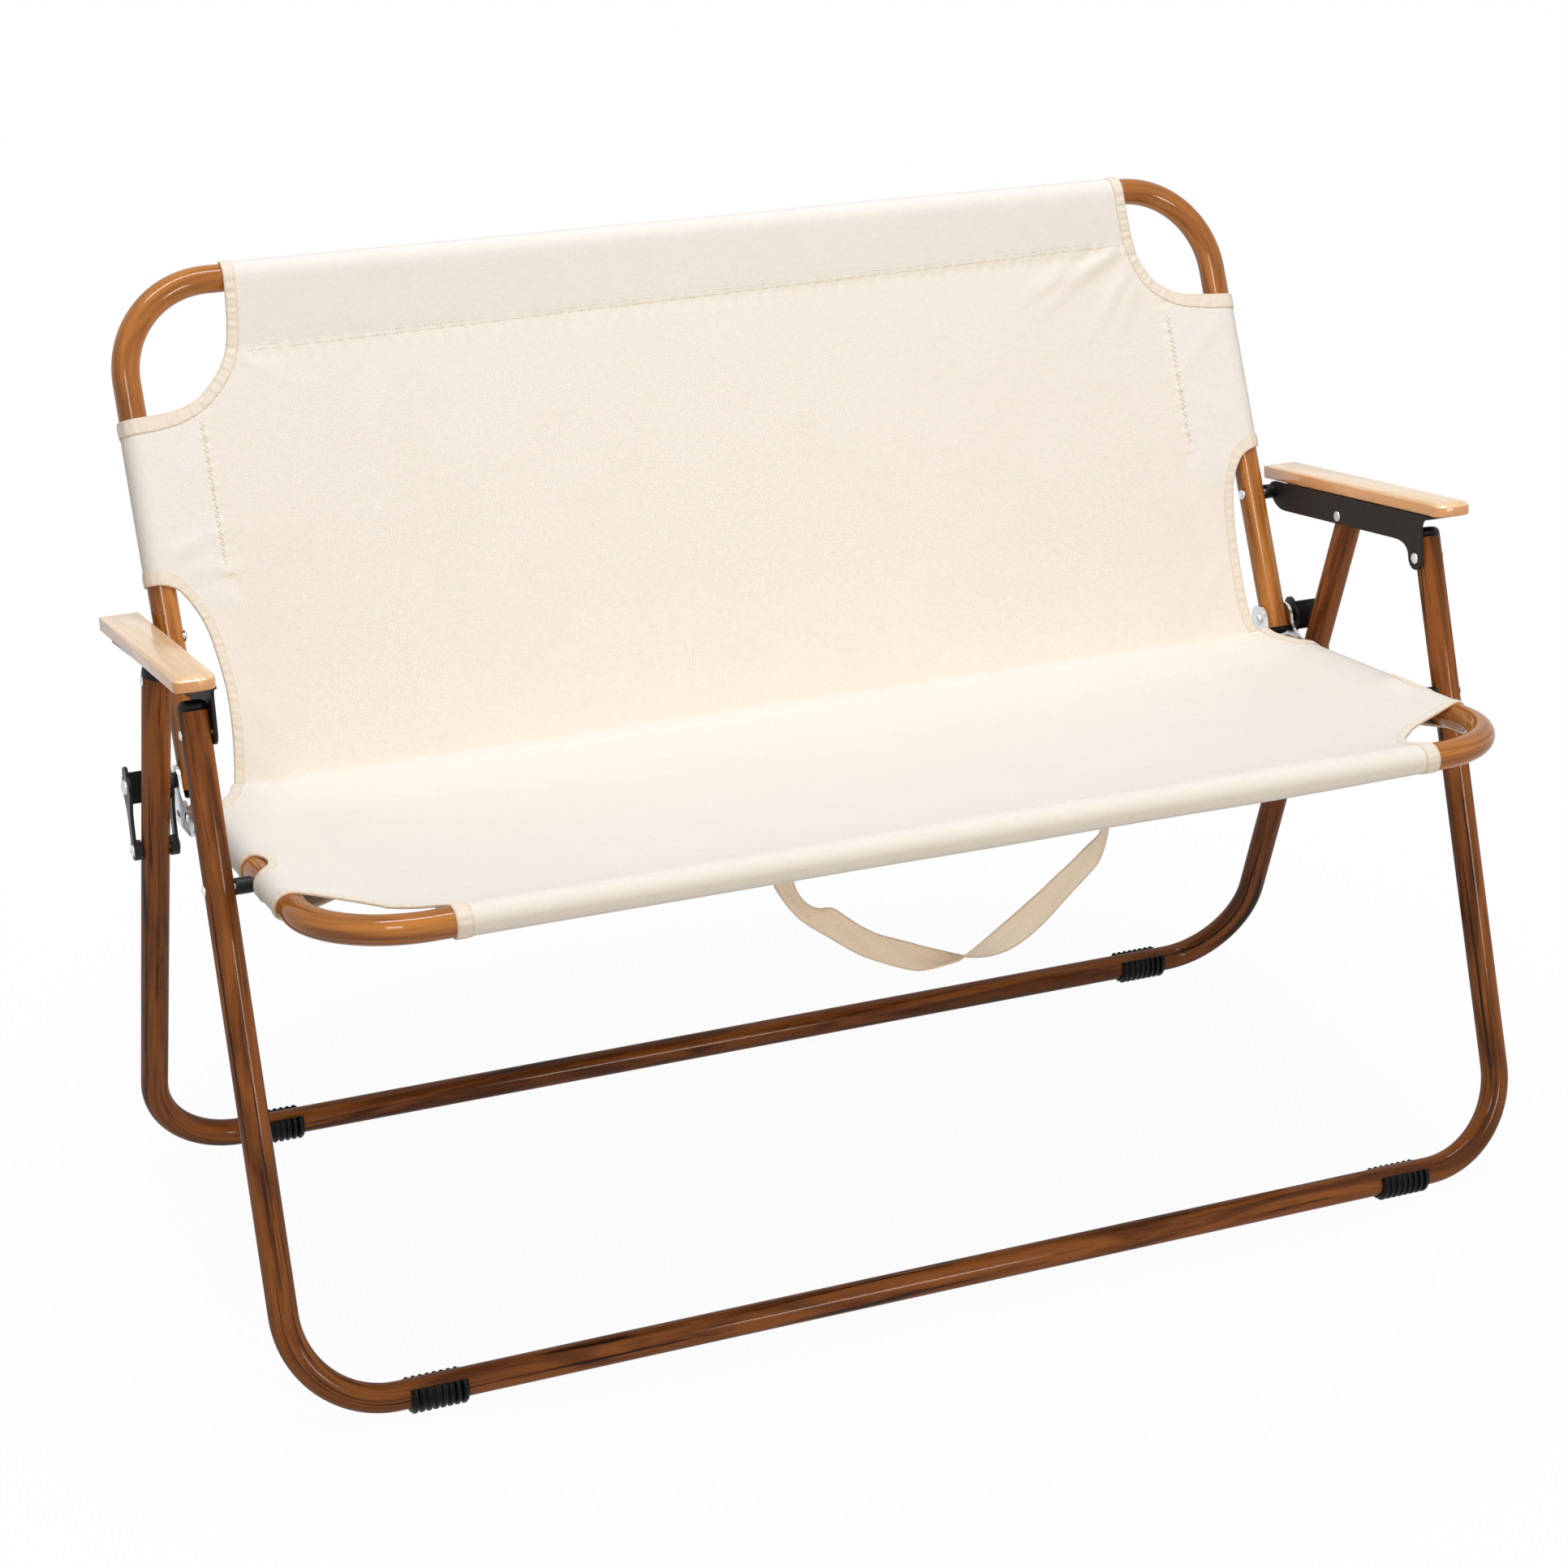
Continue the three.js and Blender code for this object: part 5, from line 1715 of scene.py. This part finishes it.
    def loops(self, side: Side) -> dict[str, np.ndarray]:
        """The bound edges of one side in the flat pattern, from top to bottom.

        Args:
            side: The side of the bench.

        Returns:
            Paths (u, l) with u positive, by name.
        """
        cuts = CUTS[side]
        top_bar, front_bar = cuts.bar
        top_u, end_u = self.across(top_bar), self.across(front_bar)
        rear_u = self.across(top_bar - self.sleeve_step)
        rise = [self.at_back(x, s) for x, s in cuts.upper]
        fall = [self.at_back(x, s) for x, s in cuts.lower]
        seat_edges = (cuts.turn, cuts.notch, cuts.corner)
        turn, notch, corner = ([self.at_seat(x, a) for x, a in edge] for edge in seat_edges)
        end, front = self.marks["end"], self.marks["pivot"] + self.corner_foot
        top = [(rear_u, 0.0), (rear_u, 0.04), (top_u, 0.064)]
        foot = [(end_u, front), (end_u, end - 0.03), (end_u, end)]
        return {
            "upper": smooth_path([*top, *rise, *self.hem(rise, False)], 0.004),
            "lower": smooth_path([*self.hem(fall, True), *fall, *turn, *self.hem(turn, False)], 0.004),
            "notch": smooth_path([*self.hem(notch, True), *notch, *self.hem(notch, False)], 0.0025),
            "corner": smooth_path([*self.hem(corner, True, 0.026), *corner, *foot], 0.004),
        }

    def hem(self, points: list[Point2], first: bool, cut_back: float = 0.0) -> list[Point2]:
        """Carries an edge on round the side tube to the seam behind it.

        Args:
            points: The edge's points in the flat pattern.
            first: Whether it goes on from the first point.
            cut_back: How far it slants back on the way.

        Returns:
            The points to add, in the edge's order.
        """
        height = points[0 if first else -1][1]
        ends = [(self.flap, height - cut_back), (self.flap - 0.05, height - 0.6 * cut_back)]
        return ends if first else ends[::-1]

    def tape_width(self, name: str, u: np.ndarray, l: np.ndarray) -> np.ndarray:
        """Width of a tape as it shows, wider where it hems a sleeve.

        Args:
            name: Which edge it binds.
            u: Across the pattern, positive.
            l: Along the pattern.

        Returns:
            The width at each point.
        """
        if name == "upper":
            return np.interp(u, [self.across(0.43), self.across(0.465)], [0.0098, 0.0128])
        if name == "lower":
            wide = np.interp(u, [self.across(0.462), self.across(0.474)], [0.0082, 0.0112])
            return np.where(l < self.marks["hinge"] - self.wing_foot, wide, 0.0085)
        if name == "corner":
            return np.interp(l, [self.marks["pivot"] + 0.128, self.marks["pivot"] + 0.152], [0.0082, 0.0125])
        return np.full(len(u), 0.0072)

    def outline(self) -> np.ndarray:
        """The whole outline of the flat pattern, closed, without its last point."""
        right, left = (np.vstack(list(self.loops(side).values())) for side in (Side.RIGHT, Side.LEFT))
        left[:, 0] *= -1
        ring: list[np.ndarray] = []
        for point in np.vstack([right, left[::-1]]):
            gap = np.linalg.norm(point - ring[-1]) if ring else 0.001
            if gap < 1e-5:
                continue
            if gap > 0.007:
                ring.extend(resampled(np.array([ring[-1], point]), 0.005)[1:-1])
            ring.append(point)
        ring.extend(resampled(np.array([ring[-1], ring[0]]), 0.005)[1:-1])
        return np.array(ring)

    def sheet(self) -> bpy.types.Object:
        """The canvas as one sheet with its thickness."""
        ring = self.ring
        low, high = ring.min(axis=0), ring.max(axis=0)
        coarse, fine = self.grid(low, high, self.spacing), self.grid(low, high, self.fine_spacing)
        coarse = coarse[~self.near_seam(coarse, 0.001)]
        fine = fine[self.near_seam(fine, 0.0)]
        off_top = np.abs(fine[:, 1] - self.seam_line(fine[:, 0])) > self.seam_clear
        off_wing = np.abs(np.abs(fine[:, 0]) - self.across(self.wing_seam)) > self.seam_clear
        fine = fine[off_top & (off_wing | (fine[:, 1] > self.marks["hinge"] - self.wing_foot))]
        rows = np.vstack([coarse, fine, self.seam_rows()])
        rows = rows[self.inside(rows, ring)]
        gap = np.full(len(rows), np.inf)
        for point in ring:
            gap = np.minimum(gap, np.hypot(rows[:, 0] - point[0], rows[:, 1] - point[1]))
        rows = rows[gap > self.edge_clear]
        flat = [Vector(p) for p in np.vstack([ring, rows])]
        edges = [(i, (i + 1) % len(ring)) for i in range(len(ring))]
        verts, _, faces, *_ = delaunay_2d_cdt(flat, edges, [], 1, 1e-7)
        uv = np.array([tuple(v) for v in verts])
        places = self.place(uv[:, 0], uv[:, 1])
        piece = mesh_object("sling_canvas", ([tuple(p) for p in places], [tuple(f) for f in faces]))
        lay_out(piece, uv, self.doubled(uv[:, 0], uv[:, 1]).astype(float))
        self.face_up(piece)
        skin = piece.modifiers.new("cloth", "SOLIDIFY")
        skin.thickness = self.thickness
        skin.offset = 0.0
        piece = evaluated(piece, "sling_canvas")
        piece.data.polygons.foreach_set("use_smooth", [True] * len(piece.data.polygons))
        piece.data.materials.append(CANVAS.material())
        return piece

    @staticmethod
    def grid(low: np.ndarray, high: np.ndarray, step: float) -> np.ndarray:
        """Points of an even grid between two corners."""
        across, along = np.meshgrid(np.arange(low[0], high[0], step), np.arange(low[1], high[1], step))
        return np.stack([across.ravel(), along.ravel()], axis=1)

    def near_seam(self, points: np.ndarray, margin: float) -> np.ndarray:
        """Which points lie in the puckered strips along the seams.

        Args:
            points: Points of the pattern.
            margin: How much wider than the strips to look.

        Returns:
            A truth value for each point.
        """
        u, l = points[:, 0], points[:, 1]
        top = (np.abs(l - self.seam_line(u) - 0.002) < 0.011 + margin) & (np.abs(u) < self.seam_half)
        wing = np.abs(np.abs(u) - self.across(self.wing_seam) + 0.0015) < 0.008 + margin
        return top | (wing & (np.abs(l - self.marks["hinge"] + 0.2175) < 0.075 + margin))

    def seam_rows(self) -> np.ndarray:
        """Rows of points on both sides of each lapped edge, which keep it crisp."""
        rows = []
        along = np.arange(-self.panel_half, self.panel_half, self.fine_spacing)
        low, high = self.wing_rows
        down = np.arange(self.marks["hinge"] - high, self.marks["hinge"] - low, self.fine_spacing)
        for off in (-0.0005, 0.0005):
            rows.append(np.stack([along, self.seam_line(along) + off], axis=1))
            for side in Side:
                edge = side.value * (self.across(self.wing_seam) + off)
                rows.append(np.stack([np.full(len(down), edge), down], axis=1))
        return np.vstack(rows)

    @staticmethod
    def face_up(piece: bpy.types.Object) -> None:
        """Turns an open sheet's faces so that the seat's face upwards."""
        mesh = piece.data
        middle = min(mesh.polygons, key=lambda p: (p.center - Vector((0, -0.1, 0.38))).length)
        if middle.normal.z < 0:
            mesh.flip_normals()

    @staticmethod
    def flat_area(ring: np.ndarray) -> float:
        """Area inside a closed outline."""
        x, y = ring[:, 0], ring[:, 1]
        return abs(float(np.dot(x, np.roll(y, -1)) - np.dot(y, np.roll(x, -1)))) / 2

    @staticmethod
    def inside(points: np.ndarray, ring: np.ndarray) -> np.ndarray:
        """Which points lie inside a closed outline.

        Args:
            points: The points.
            ring: The outline.

        Returns:
            A truth value for each point.
        """
        result = np.zeros(len(points), bool)
        x, y = points[:, 0], points[:, 1]
        for (x0, y0), (x1, y1) in zip(ring, np.roll(ring, -1, axis=0)):
            if y0 == y1:
                continue
            crosses = ((y0 > y) != (y1 > y)) & (x < (x1 - x0) * (y - y0) / (y1 - y0) + x0)
            result ^= crosses
        return result

    def binding(self) -> bpy.types.Object:
        """The tape folded over the bound edges."""
        tapes = []
        for side in Side:
            for name, loop in self.loops(side).items():
                tapes.append(self.tape(f"tape_{name}_{side.label}", loop, side, name))
        return joined("sling_binding", tapes)

    def tape(self, name: str, loop: np.ndarray, side: Side, edge_name: str) -> bpy.types.Object:
        """One length of tape, folded over an edge.

        Args:
            name: The piece's name.
            loop: The edge's path (u, l), u positive.
            side: The side of the bench.
            edge_name: Which edge it binds.

        Returns:
            The tape.
        """
        path = resampled(loop, self.tape_step)
        width = self.tape_width(edge_name, path[:, 0], path[:, 1])
        heading = unit(np.gradient(path, axis=0))
        inward = np.stack([heading[:, 1], -heading[:, 0]], axis=1)
        probe = (path + 0.003 * inward) * np.array([side.value, 1])
        if np.mean(self.inside(probe, self.ring)) < 0.5:
            inward = -inward
        run = run_of(path)
        wave = np.sin(2 * np.pi * run / 0.0062 + 1.8 * np.sin(run * 150))
        wave += 0.6 * np.sin(2 * np.pi * run / 0.0105 + 1)
        fray = self.tape_fray * np.sin(2 * np.pi * run / 0.0047 + 2 * np.sin(run * 130))
        doubled = self.lap * self.doubled(path[:, 0] * side.value, path[:, 1])
        rows = np.empty((len(path), len(TAPE_SECTION), 3))
        for k, (share, lift, _) in enumerate(TAPE_SECTION):
            depth = share * width + (fray if share > 0.85 else 0.0)
            spot = path + np.reshape(depth - self.tape_past_edge, (-1, 1)) * inward
            edge = np.clip(spot[:, 0] * side.value, -self.flap, self.flap)
            base = self.place(edge, spot[:, 1])
            up = unit(self.place(edge, spot[:, 1], 0.001) - base)
            height = self.tape_half * lift
            if lift > 0:
                swell = self.pucker * wave * math.sin(math.pi * min(1.0, share * 1.05))
                height = height + swell + 0.2 * doubled
            rows[:, k] = base + up * np.reshape(height, (-1, 1))
        piece = band(name, rows)
        over = [0.01 * share + 0.001 * lift for share, lift, _ in TAPE_SECTION]
        flat = np.stack([np.repeat(run, len(over)), np.tile(over, len(path))], axis=1)
        # Painted shade along the tape's edges, from the section's third column.
        lay_out(piece, flat, [edge for _, _, edge in TAPE_SECTION] * len(path))
        recalculate(piece)
        piece.data.materials.append(BINDING.material())
        return piece

    def stitches(self) -> bpy.types.Object:
        """The rows of stitches along the seams and the bound edges."""
        places: list[tuple[np.ndarray, np.ndarray, Point3]] = []

        def sew(path: np.ndarray, lift: float, length: float = 0.0) -> None:
            """Adds a stitch to each step of a path, nearly as long as the step if no length is given."""
            ends = self.place(path[:, 0], path[:, 1], lift)
            for a, b in zip(ends[:-1], ends[1:]):
                size = float(np.linalg.norm(b - a))
                places.append(((a + b) / 2, (b - a) / size, (1.0, 1.0, length or size * 0.95)))

        ends = np.array([-0.385, 0.392])
        for offset in (-0.0032, 0.0004):
            seam = np.stack([ends, self.seam_line(ends) + offset], axis=1)
            sew(resampled(seam, self.seam_pitch), 0.0005, self.seam_stitch)
        low, high = (self.marks["hinge"] - s for s in self.wing_stitches)
        count = int((low - high) / self.zigzag_pitch)
        zigzag = self.zigzag_pitch * np.where(np.arange(count) % 2 == 0, 1, -1)
        for side in Side:
            middle = side.value * (self.across(self.wing_seam) - 0.0005)
            sew(np.stack([middle + zigzag, np.linspace(high, low, count)], axis=1), 0.0006)
        return Repeater.copies("sling_stitches", self.stitch_shape(), places, THREAD)

    def stitch_shape(self) -> MeshData:
        """A stitch of unit length: a thin spindle along Z."""
        r = self.stitch_radius
        return lathe([(0, -0.5), (0.7 * r, -0.42), (r, -0.2), (r, 0.2), (0.7 * r, 0.42), (0, 0.5)], 6)

    def build(self) -> None:
        """Builds the sling and hides the imported canvas pieces that it stands for."""
        view = self.view
        sheet = self.sheet()
        extras = [self.binding(), self.stitches()]
        across = view.back_up - view.seat_forward
        across /= np.linalg.norm(across)
        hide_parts("back_canvas", "seat_canvas")
        for piece, slot in ((sheet, "canvas"), (extras[0], "webbing"), (extras[1], "canvas")):
            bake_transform(piece)
            LOG.info("%s bends between seat and backrest", piece.name)


# Strap


@dataclass
class CarryStrap:
    """Webbing strap that hangs in a loose loop under the seat's front.

    Its two edges are drawn as (x, z) in the upright plane at y, in step with
    each other, and cross where the strap turns over. Where they come nearer
    than its width, it leans out of that plane.
    """

    y: float = -0.2356
    width: float = 0.025
    thickness: float = 0.0015
    shear: Point2 = (0.483, -0.508)
    spacing: float = 0.0036
    ripple: float = 0.0005
    first_edge: tuple[Point2, ...] = (
        (-121.5, 378.8), (-120.2, 362.0), (-116.5, 351.0), (-108.5, 340.5), (-99.5, 335.6),
        (-93.5, 335.6), (-88.0, 334.8), (-78.7, 326.8), (-65.6, 315.9), (-52.3, 307.0), (-39.1, 301.3),
        (-25.7, 295.6), (-12.3, 289.2), (-4.0, 285.8), (4.5, 282.2), (12.0, 279.2), (17.5, 277.3),
        (22.5, 274.4), (31.0, 272.9), (40.0, 271.9), (49.0, 272.7), (58.5, 274.5), (70.5, 280.0),
        (84.5, 289.5), (97.0, 301.3), (109.5, 313.2), (121.5, 323.9), (131.0, 333.0), (135.0, 342.0),
        (137.2, 350.0), (138.8, 359.0), (139.6, 368.0), (140.5, 378.8),
    )
    second_edge: tuple[Point2, ...] = (
        (-137.0, 378.8), (-135.2, 362.0), (-130.5, 353.0), (-122.5, 340.5), (-113.5, 329.5),
        (-105.5, 322.6), (-98.0, 316.8), (-91.6, 312.0), (-78.5, 301.8), (-65.3, 292.1), (-50.0, 284.1),
        (-34.5, 276.8), (-19.0, 270.6), (-8.7, 270.3), (2.0, 271.3), (11.5, 272.2), (17.5, 273.3),
        (23.0, 277.8), (28.1, 280.6), (34.5, 284.8), (41.4, 289.6), (50.0, 295.6), (60.0, 302.4),
        (72.0, 311.2), (83.0, 318.6), (94.6, 328.4), (108.0, 338.1), (119.0, 347.8), (127.0, 353.6),
        (130.3, 356.5), (131.8, 361.0), (132.4, 368.0), (133.0, 378.8),
    )

    def stations(self) -> np.ndarray:
        """Both edges in the round at each step: x, y, z of the first, then of the second."""
        rows = []
        across, up = self.shear
        for (xa, za), (xb, zb) in zip(self.first_edge, self.second_edge):
            dx, dz = (xa - xb) / 1000, (za - zb) / 1000
            a = 4 * (1 + across * across + up * up)
            b = 4 * (across * dx + up * dz)
            c = dx * dx + dz * dz - self.width ** 2
            lean = (-b + math.sqrt(max(0.0, b * b - 4 * a * c))) / (2 * a)
            rows.append((xa / 1000 + across * lean, self.y + lean, za / 1000 + up * lean,
                         xb / 1000 - across * lean, self.y - lean, zb / 1000 - up * lean))
        return np.array(rows)

    def build(self) -> None:
        """Builds the strap between its two edges."""
        path = smooth_path(self.stations(), self.spacing)
        middle = (path[:, :3] + path[:, 3:]) / 2
        wide = unit(path[:, :3] - path[:, 3:])
        thin = unit(np.cross(unit(np.gradient(middle, axis=0)), wide))
        run = run_of(middle)
        rim = [(k / 10 - 0.5, 0.5) for k in range(11)] + [(0.5 - k / 10, -0.5) for k in range(11)]
        rows = np.empty((len(path), len(rim), 3))
        for k, (t, side) in enumerate(rim):
            half = side * self.thickness * (0.75 if abs(t) > 0.49 else 1.0)
            wave = self.ripple * np.sin(run * 105 + 7 * t) * math.cos(math.pi * t)
            rows[:, k] = middle + wide * t * self.width + thin * (half + wave)[:, None]
        strap = band("webbing_strap", rows)
        over = np.tile([t * self.width for t, _ in rim], len(path))
        tint = [1.0 if abs(t) > 0.45 else 0.0 for t, _ in rim] * len(path)
        lay_out(strap, np.stack([over, np.repeat(run, len(rim))], axis=1), tint)
        recalculate(strap)
        strap.data.materials.append(WEBBING.material())
        publish(strap, "seat", "webbing", "carry_strap")


# Hardware


@dataclass(frozen=True)
class Fastener:
    """A rivet, bolt or spacer along X, by |x| of the faces that its heads sit on."""

    node: str
    finish: Finish
    seat_in: float
    seat_out: float
    head_in: Point2
    head_out: Point2
    shank: float

    def profile(self) -> list[Point2]:
        """Its half section (radius, |x|) from the inner head to the outer."""
        dome = ((0.0, 1.0), (0.4, 0.96), (0.68, 0.83), (0.88, 0.58), (0.97, 0.3), (1.0, 0.0))

        def head(seat: float, size: Point2, way: int) -> list[Point2]:
            """A domed head from its top down, or the middle of a plain end."""
            radius, height = size
            return [(radius * s, seat + way * height * h) for s, h in dome] if height > 0 else [(0.0, seat)]

        inner, outer = head(self.seat_in, self.head_in, -1), head(self.seat_out, self.head_out, 1)[::-1]
        return [*inner, (self.shank, self.seat_in + 0.0001), (self.shank, self.seat_out - 0.0001), *outer]


@dataclass
class Hardware:
    """Turned fasteners, and the plates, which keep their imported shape."""

    nodes: dict[str, bpy.types.Object]
    bodies: dict[str, Sequence[str]]
    fasteners: tuple[Fastener, ...] = (
        Fastener("front_leg_rivet", ZINC, 0.4992, 0.5240, (0.0046, 0.0016), (0.0036, 0.0011), 0.0028),
        Fastener("rear_leg_rivet", ZINC, 0.4992, 0.5240, (0.0046, 0.0016), (0.0040, 0.0012), 0.0028),
        Fastener("back_bolt", ZINC, 0.4670, 0.4989, (0.0044, 0.0018), (0.0030, 0.0), 0.0029),
        Fastener("seat_bolt", ZINC, 0.4670, 0.5240, (0.0052, 0.0026), (0.0040, 0.0018), 0.0030),
        Fastener("hinge_bolt", ZINC, 0.4642, 0.4952, (0.0056, 0.0034), (0.0030, 0.0), 0.0030),
        Fastener("hinge_rivet", ZINC, 0.4642, 0.4918, (0.0046, 0.0022), (0.0046, 0.0022), 0.0026),
        Fastener("link_rivet", ZINC, 0.4955, 0.5305, (0.0044, 0.0020), (0.0046, 0.0022), 0.0026),
        Fastener("link_bolt", ZINC, 0.4955, 0.5305, (0.0030, 0.0), (0.0058, 0.0034), 0.0030),
        Fastener("back_spacer", BLACK_PLASTIC, 0.4893, 0.4989, (0.0062, 0.0), (0.0062, 0.0), 0.0062),
        Fastener("seat_spacer", BLACK_PLASTIC, 0.4893, 0.5017, (0.0062, 0.0), (0.0062, 0.0), 0.0062),
        Fastener("hinge_spacer", BLACK_PLASTIC, 0.4921, 0.4952, (0.0062, 0.0), (0.0062, 0.0), 0.0062),
    )

    def body_of(self, node: str) -> str:
        """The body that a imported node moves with."""
        return next(body for body, names in self.bodies.items() if node in names)

    def turned(self) -> None:
        """Sets a turned fastener in the place of each packed one."""
        for part in self.fasteners:
            shape = lathe(part.profile(), 28)
            for side in Side:
                node = f"{part.node}_{side.label}"
                low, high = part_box(node)
                centre = (0.0, (low[1] + high[1]) / 2, (low[2] + high[2]) / 2)
                place = (centre, (side.value, 0.0, 0.0), (1.0, 1.0, 1.0))
                piece = Repeater.copies(f"turned_{node}", shape, [place], part.finish)
                piece.data.set_sharp_from_angle(angle=math.radians(50))
                publish(piece, self.body_of(node), part.finish.name, node)

    def build(self) -> None:
        """Turns the fasteners and gives each remaining node its finish."""
        self.turned()
        rules = {
            "armrest_bracket": BLACK_STEEL, "saddle_link": LINK_STEEL,
            "armrest_screw": ZINC, "armrest_nut": ZINC, "hinge_bracket": ZINC,
        }
        for name, node in self.nodes.items():
            for start, finish in rules.items():
                if name.startswith(start):
                    node.data.materials.clear()
                    node.data.materials.append(finish.material())
                    LOG.info("%s wears %s", name, finish.name)


# Studio


@dataclass
class Studio:
    """Floor, soft lights and the camera."""

    camera_place: Point3 = (-1.0114, -2.3301, 1.3651)
    yaw: float = math.radians(22.852)
    pitch: float = math.radians(22.830)
    lens: float = 78.72
    shift: Point2 = (3.4 / 1932, 48.5 / 1932)
    floor_half: float = 14.0
    floor_gap: float = 0.0004
    warm: Point3 = (1.0, 0.94, 0.87)
    cool: Point3 = (0.84, 0.93, 1.06)

    def floor(self) -> None:
        """A plain pale floor that shows white and keeps a soft shadow."""
        half = self.floor_half
        corners = [(half * x, half * y, -self.floor_gap) for x, y in ((-1, -1), (1, -1), (1, 1), (-1, 1))]
        floor = mesh_object("floor", (corners, [(0, 1, 2, 3)]))
        material = bpy.data.materials.new("pale_floor")
        material.use_nodes = True
        nodes = NodeTree(material.node_tree)
        shader = material.node_tree.nodes["Principled BSDF"]
        nodes.put_all(shader, {
            "Base Color": (0.66, 0.65, 0.64, 1), "Roughness": 0.9, "Specular IOR Level": 0.0,
        })
        glow = nodes.add("ShaderNodeEmission", {0: (1, 1, 1, 1)})
        place = nodes.add("ShaderNodeTexCoord").outputs["Object"]
        away = nodes.add("ShaderNodeVectorMath", {0: place}, operation="LENGTH").outputs["Value"]
        inputs = {0: away, 1: 0.35, 2: 0.95, 3: 0.955, 4: 1.0}
        share = nodes.add("ShaderNodeMapRange", inputs, interpolation_type="SMOOTHSTEP").outputs[0]
        white = nodes.math("MULTIPLY", nodes.seen(), share)
        mix = nodes.add("ShaderNodeMixShader", {0: white, 1: shader.outputs[0], 2: glow.outputs[0]})
        nodes.put(material.node_tree.nodes["Material Output"].inputs[0], mix.outputs[0])
        floor.data.materials.append(material)

    def lamp(
        self, name: str, place: Point3, size: Point2, power: float, colour: Point3,
        target: Point3 = (0, 0, 0.35),
    ) -> None:
        """One soft lamp aimed at a point.

        Args:
            name: The lamp's name.
            place: Where it stands.
            size: Its width and height, in metres.
            power: Power in watts.
            colour: Its colour.
            target: What it points at.
        """
        light = bpy.data.lights.new(name, "AREA")
        light.shape = "RECTANGLE"
        light.size, light.size_y = size
        light.energy = power
        light.color = colour
        lamp = placed(name, light)
        lamp.location = place
        lamp.rotation_euler = (Vector(target) - Vector(place)).to_track_quat("-Z", "Y").to_euler()

    def world(self) -> None:
        """Even pale surroundings that show white behind the object."""
        world = bpy.data.worlds.new("studio")
        bpy.context.scene.world = world
        world.use_nodes = True
        nodes = NodeTree(world.node_tree)
        background = world.node_tree.nodes["Background"]
        background.inputs[0].default_value = (1, 1, 1, 1)
        nodes.put(background.inputs[1], nodes.between(nodes.seen(), 0.24, 1.0))

    def camera(self) -> None:
        """The camera at the photograph's place."""
        data = bpy.data.cameras.new("camera")
        data.sensor_width = 36
        data.lens = self.lens
        data.shift_x, data.shift_y = self.shift
        data.clip_end = 100
        camera = placed("camera", data)
        camera.location = self.camera_place
        camera.rotation_euler = (math.pi / 2 - self.pitch, 0, -self.yaw)
        bpy.context.scene.camera = camera

    def build(self) -> None:
        """Builds the whole studio."""
        self.camera()
        self.floor()
        self.world()
        self.lamp("key", (-1.5, -2.6, 2.5), (0.8, 0.8), 24, self.warm)
        self.lamp("fill", (1.0, -2.8, 1.05), (0.5, 0.5), 16, self.warm)
        self.lamp("top", (0.05, -0.25, 3.3), (2.6, 0.45), 66, self.cool, (0.05, -0.25, 0))
        bpy.context.scene.view_settings.view_transform = "Standard"


# Main


def main() -> None:
    """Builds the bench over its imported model."""
    logging.basicConfig(level=logging.INFO, format="%(message)s")
    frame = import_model()
    view = SideView()
    members = frame["record"]["behaviour"]["bodies"]
    Studio().build()
    Frames(view).build()
    Feet(view).build()
    Armrests(view).build()
    Sling(view).build()
    CarryStrap().build()
    Hardware(frame["nodes"], members).build()
    LOG.info("bench built")


if __name__ == "__main__":
    main()
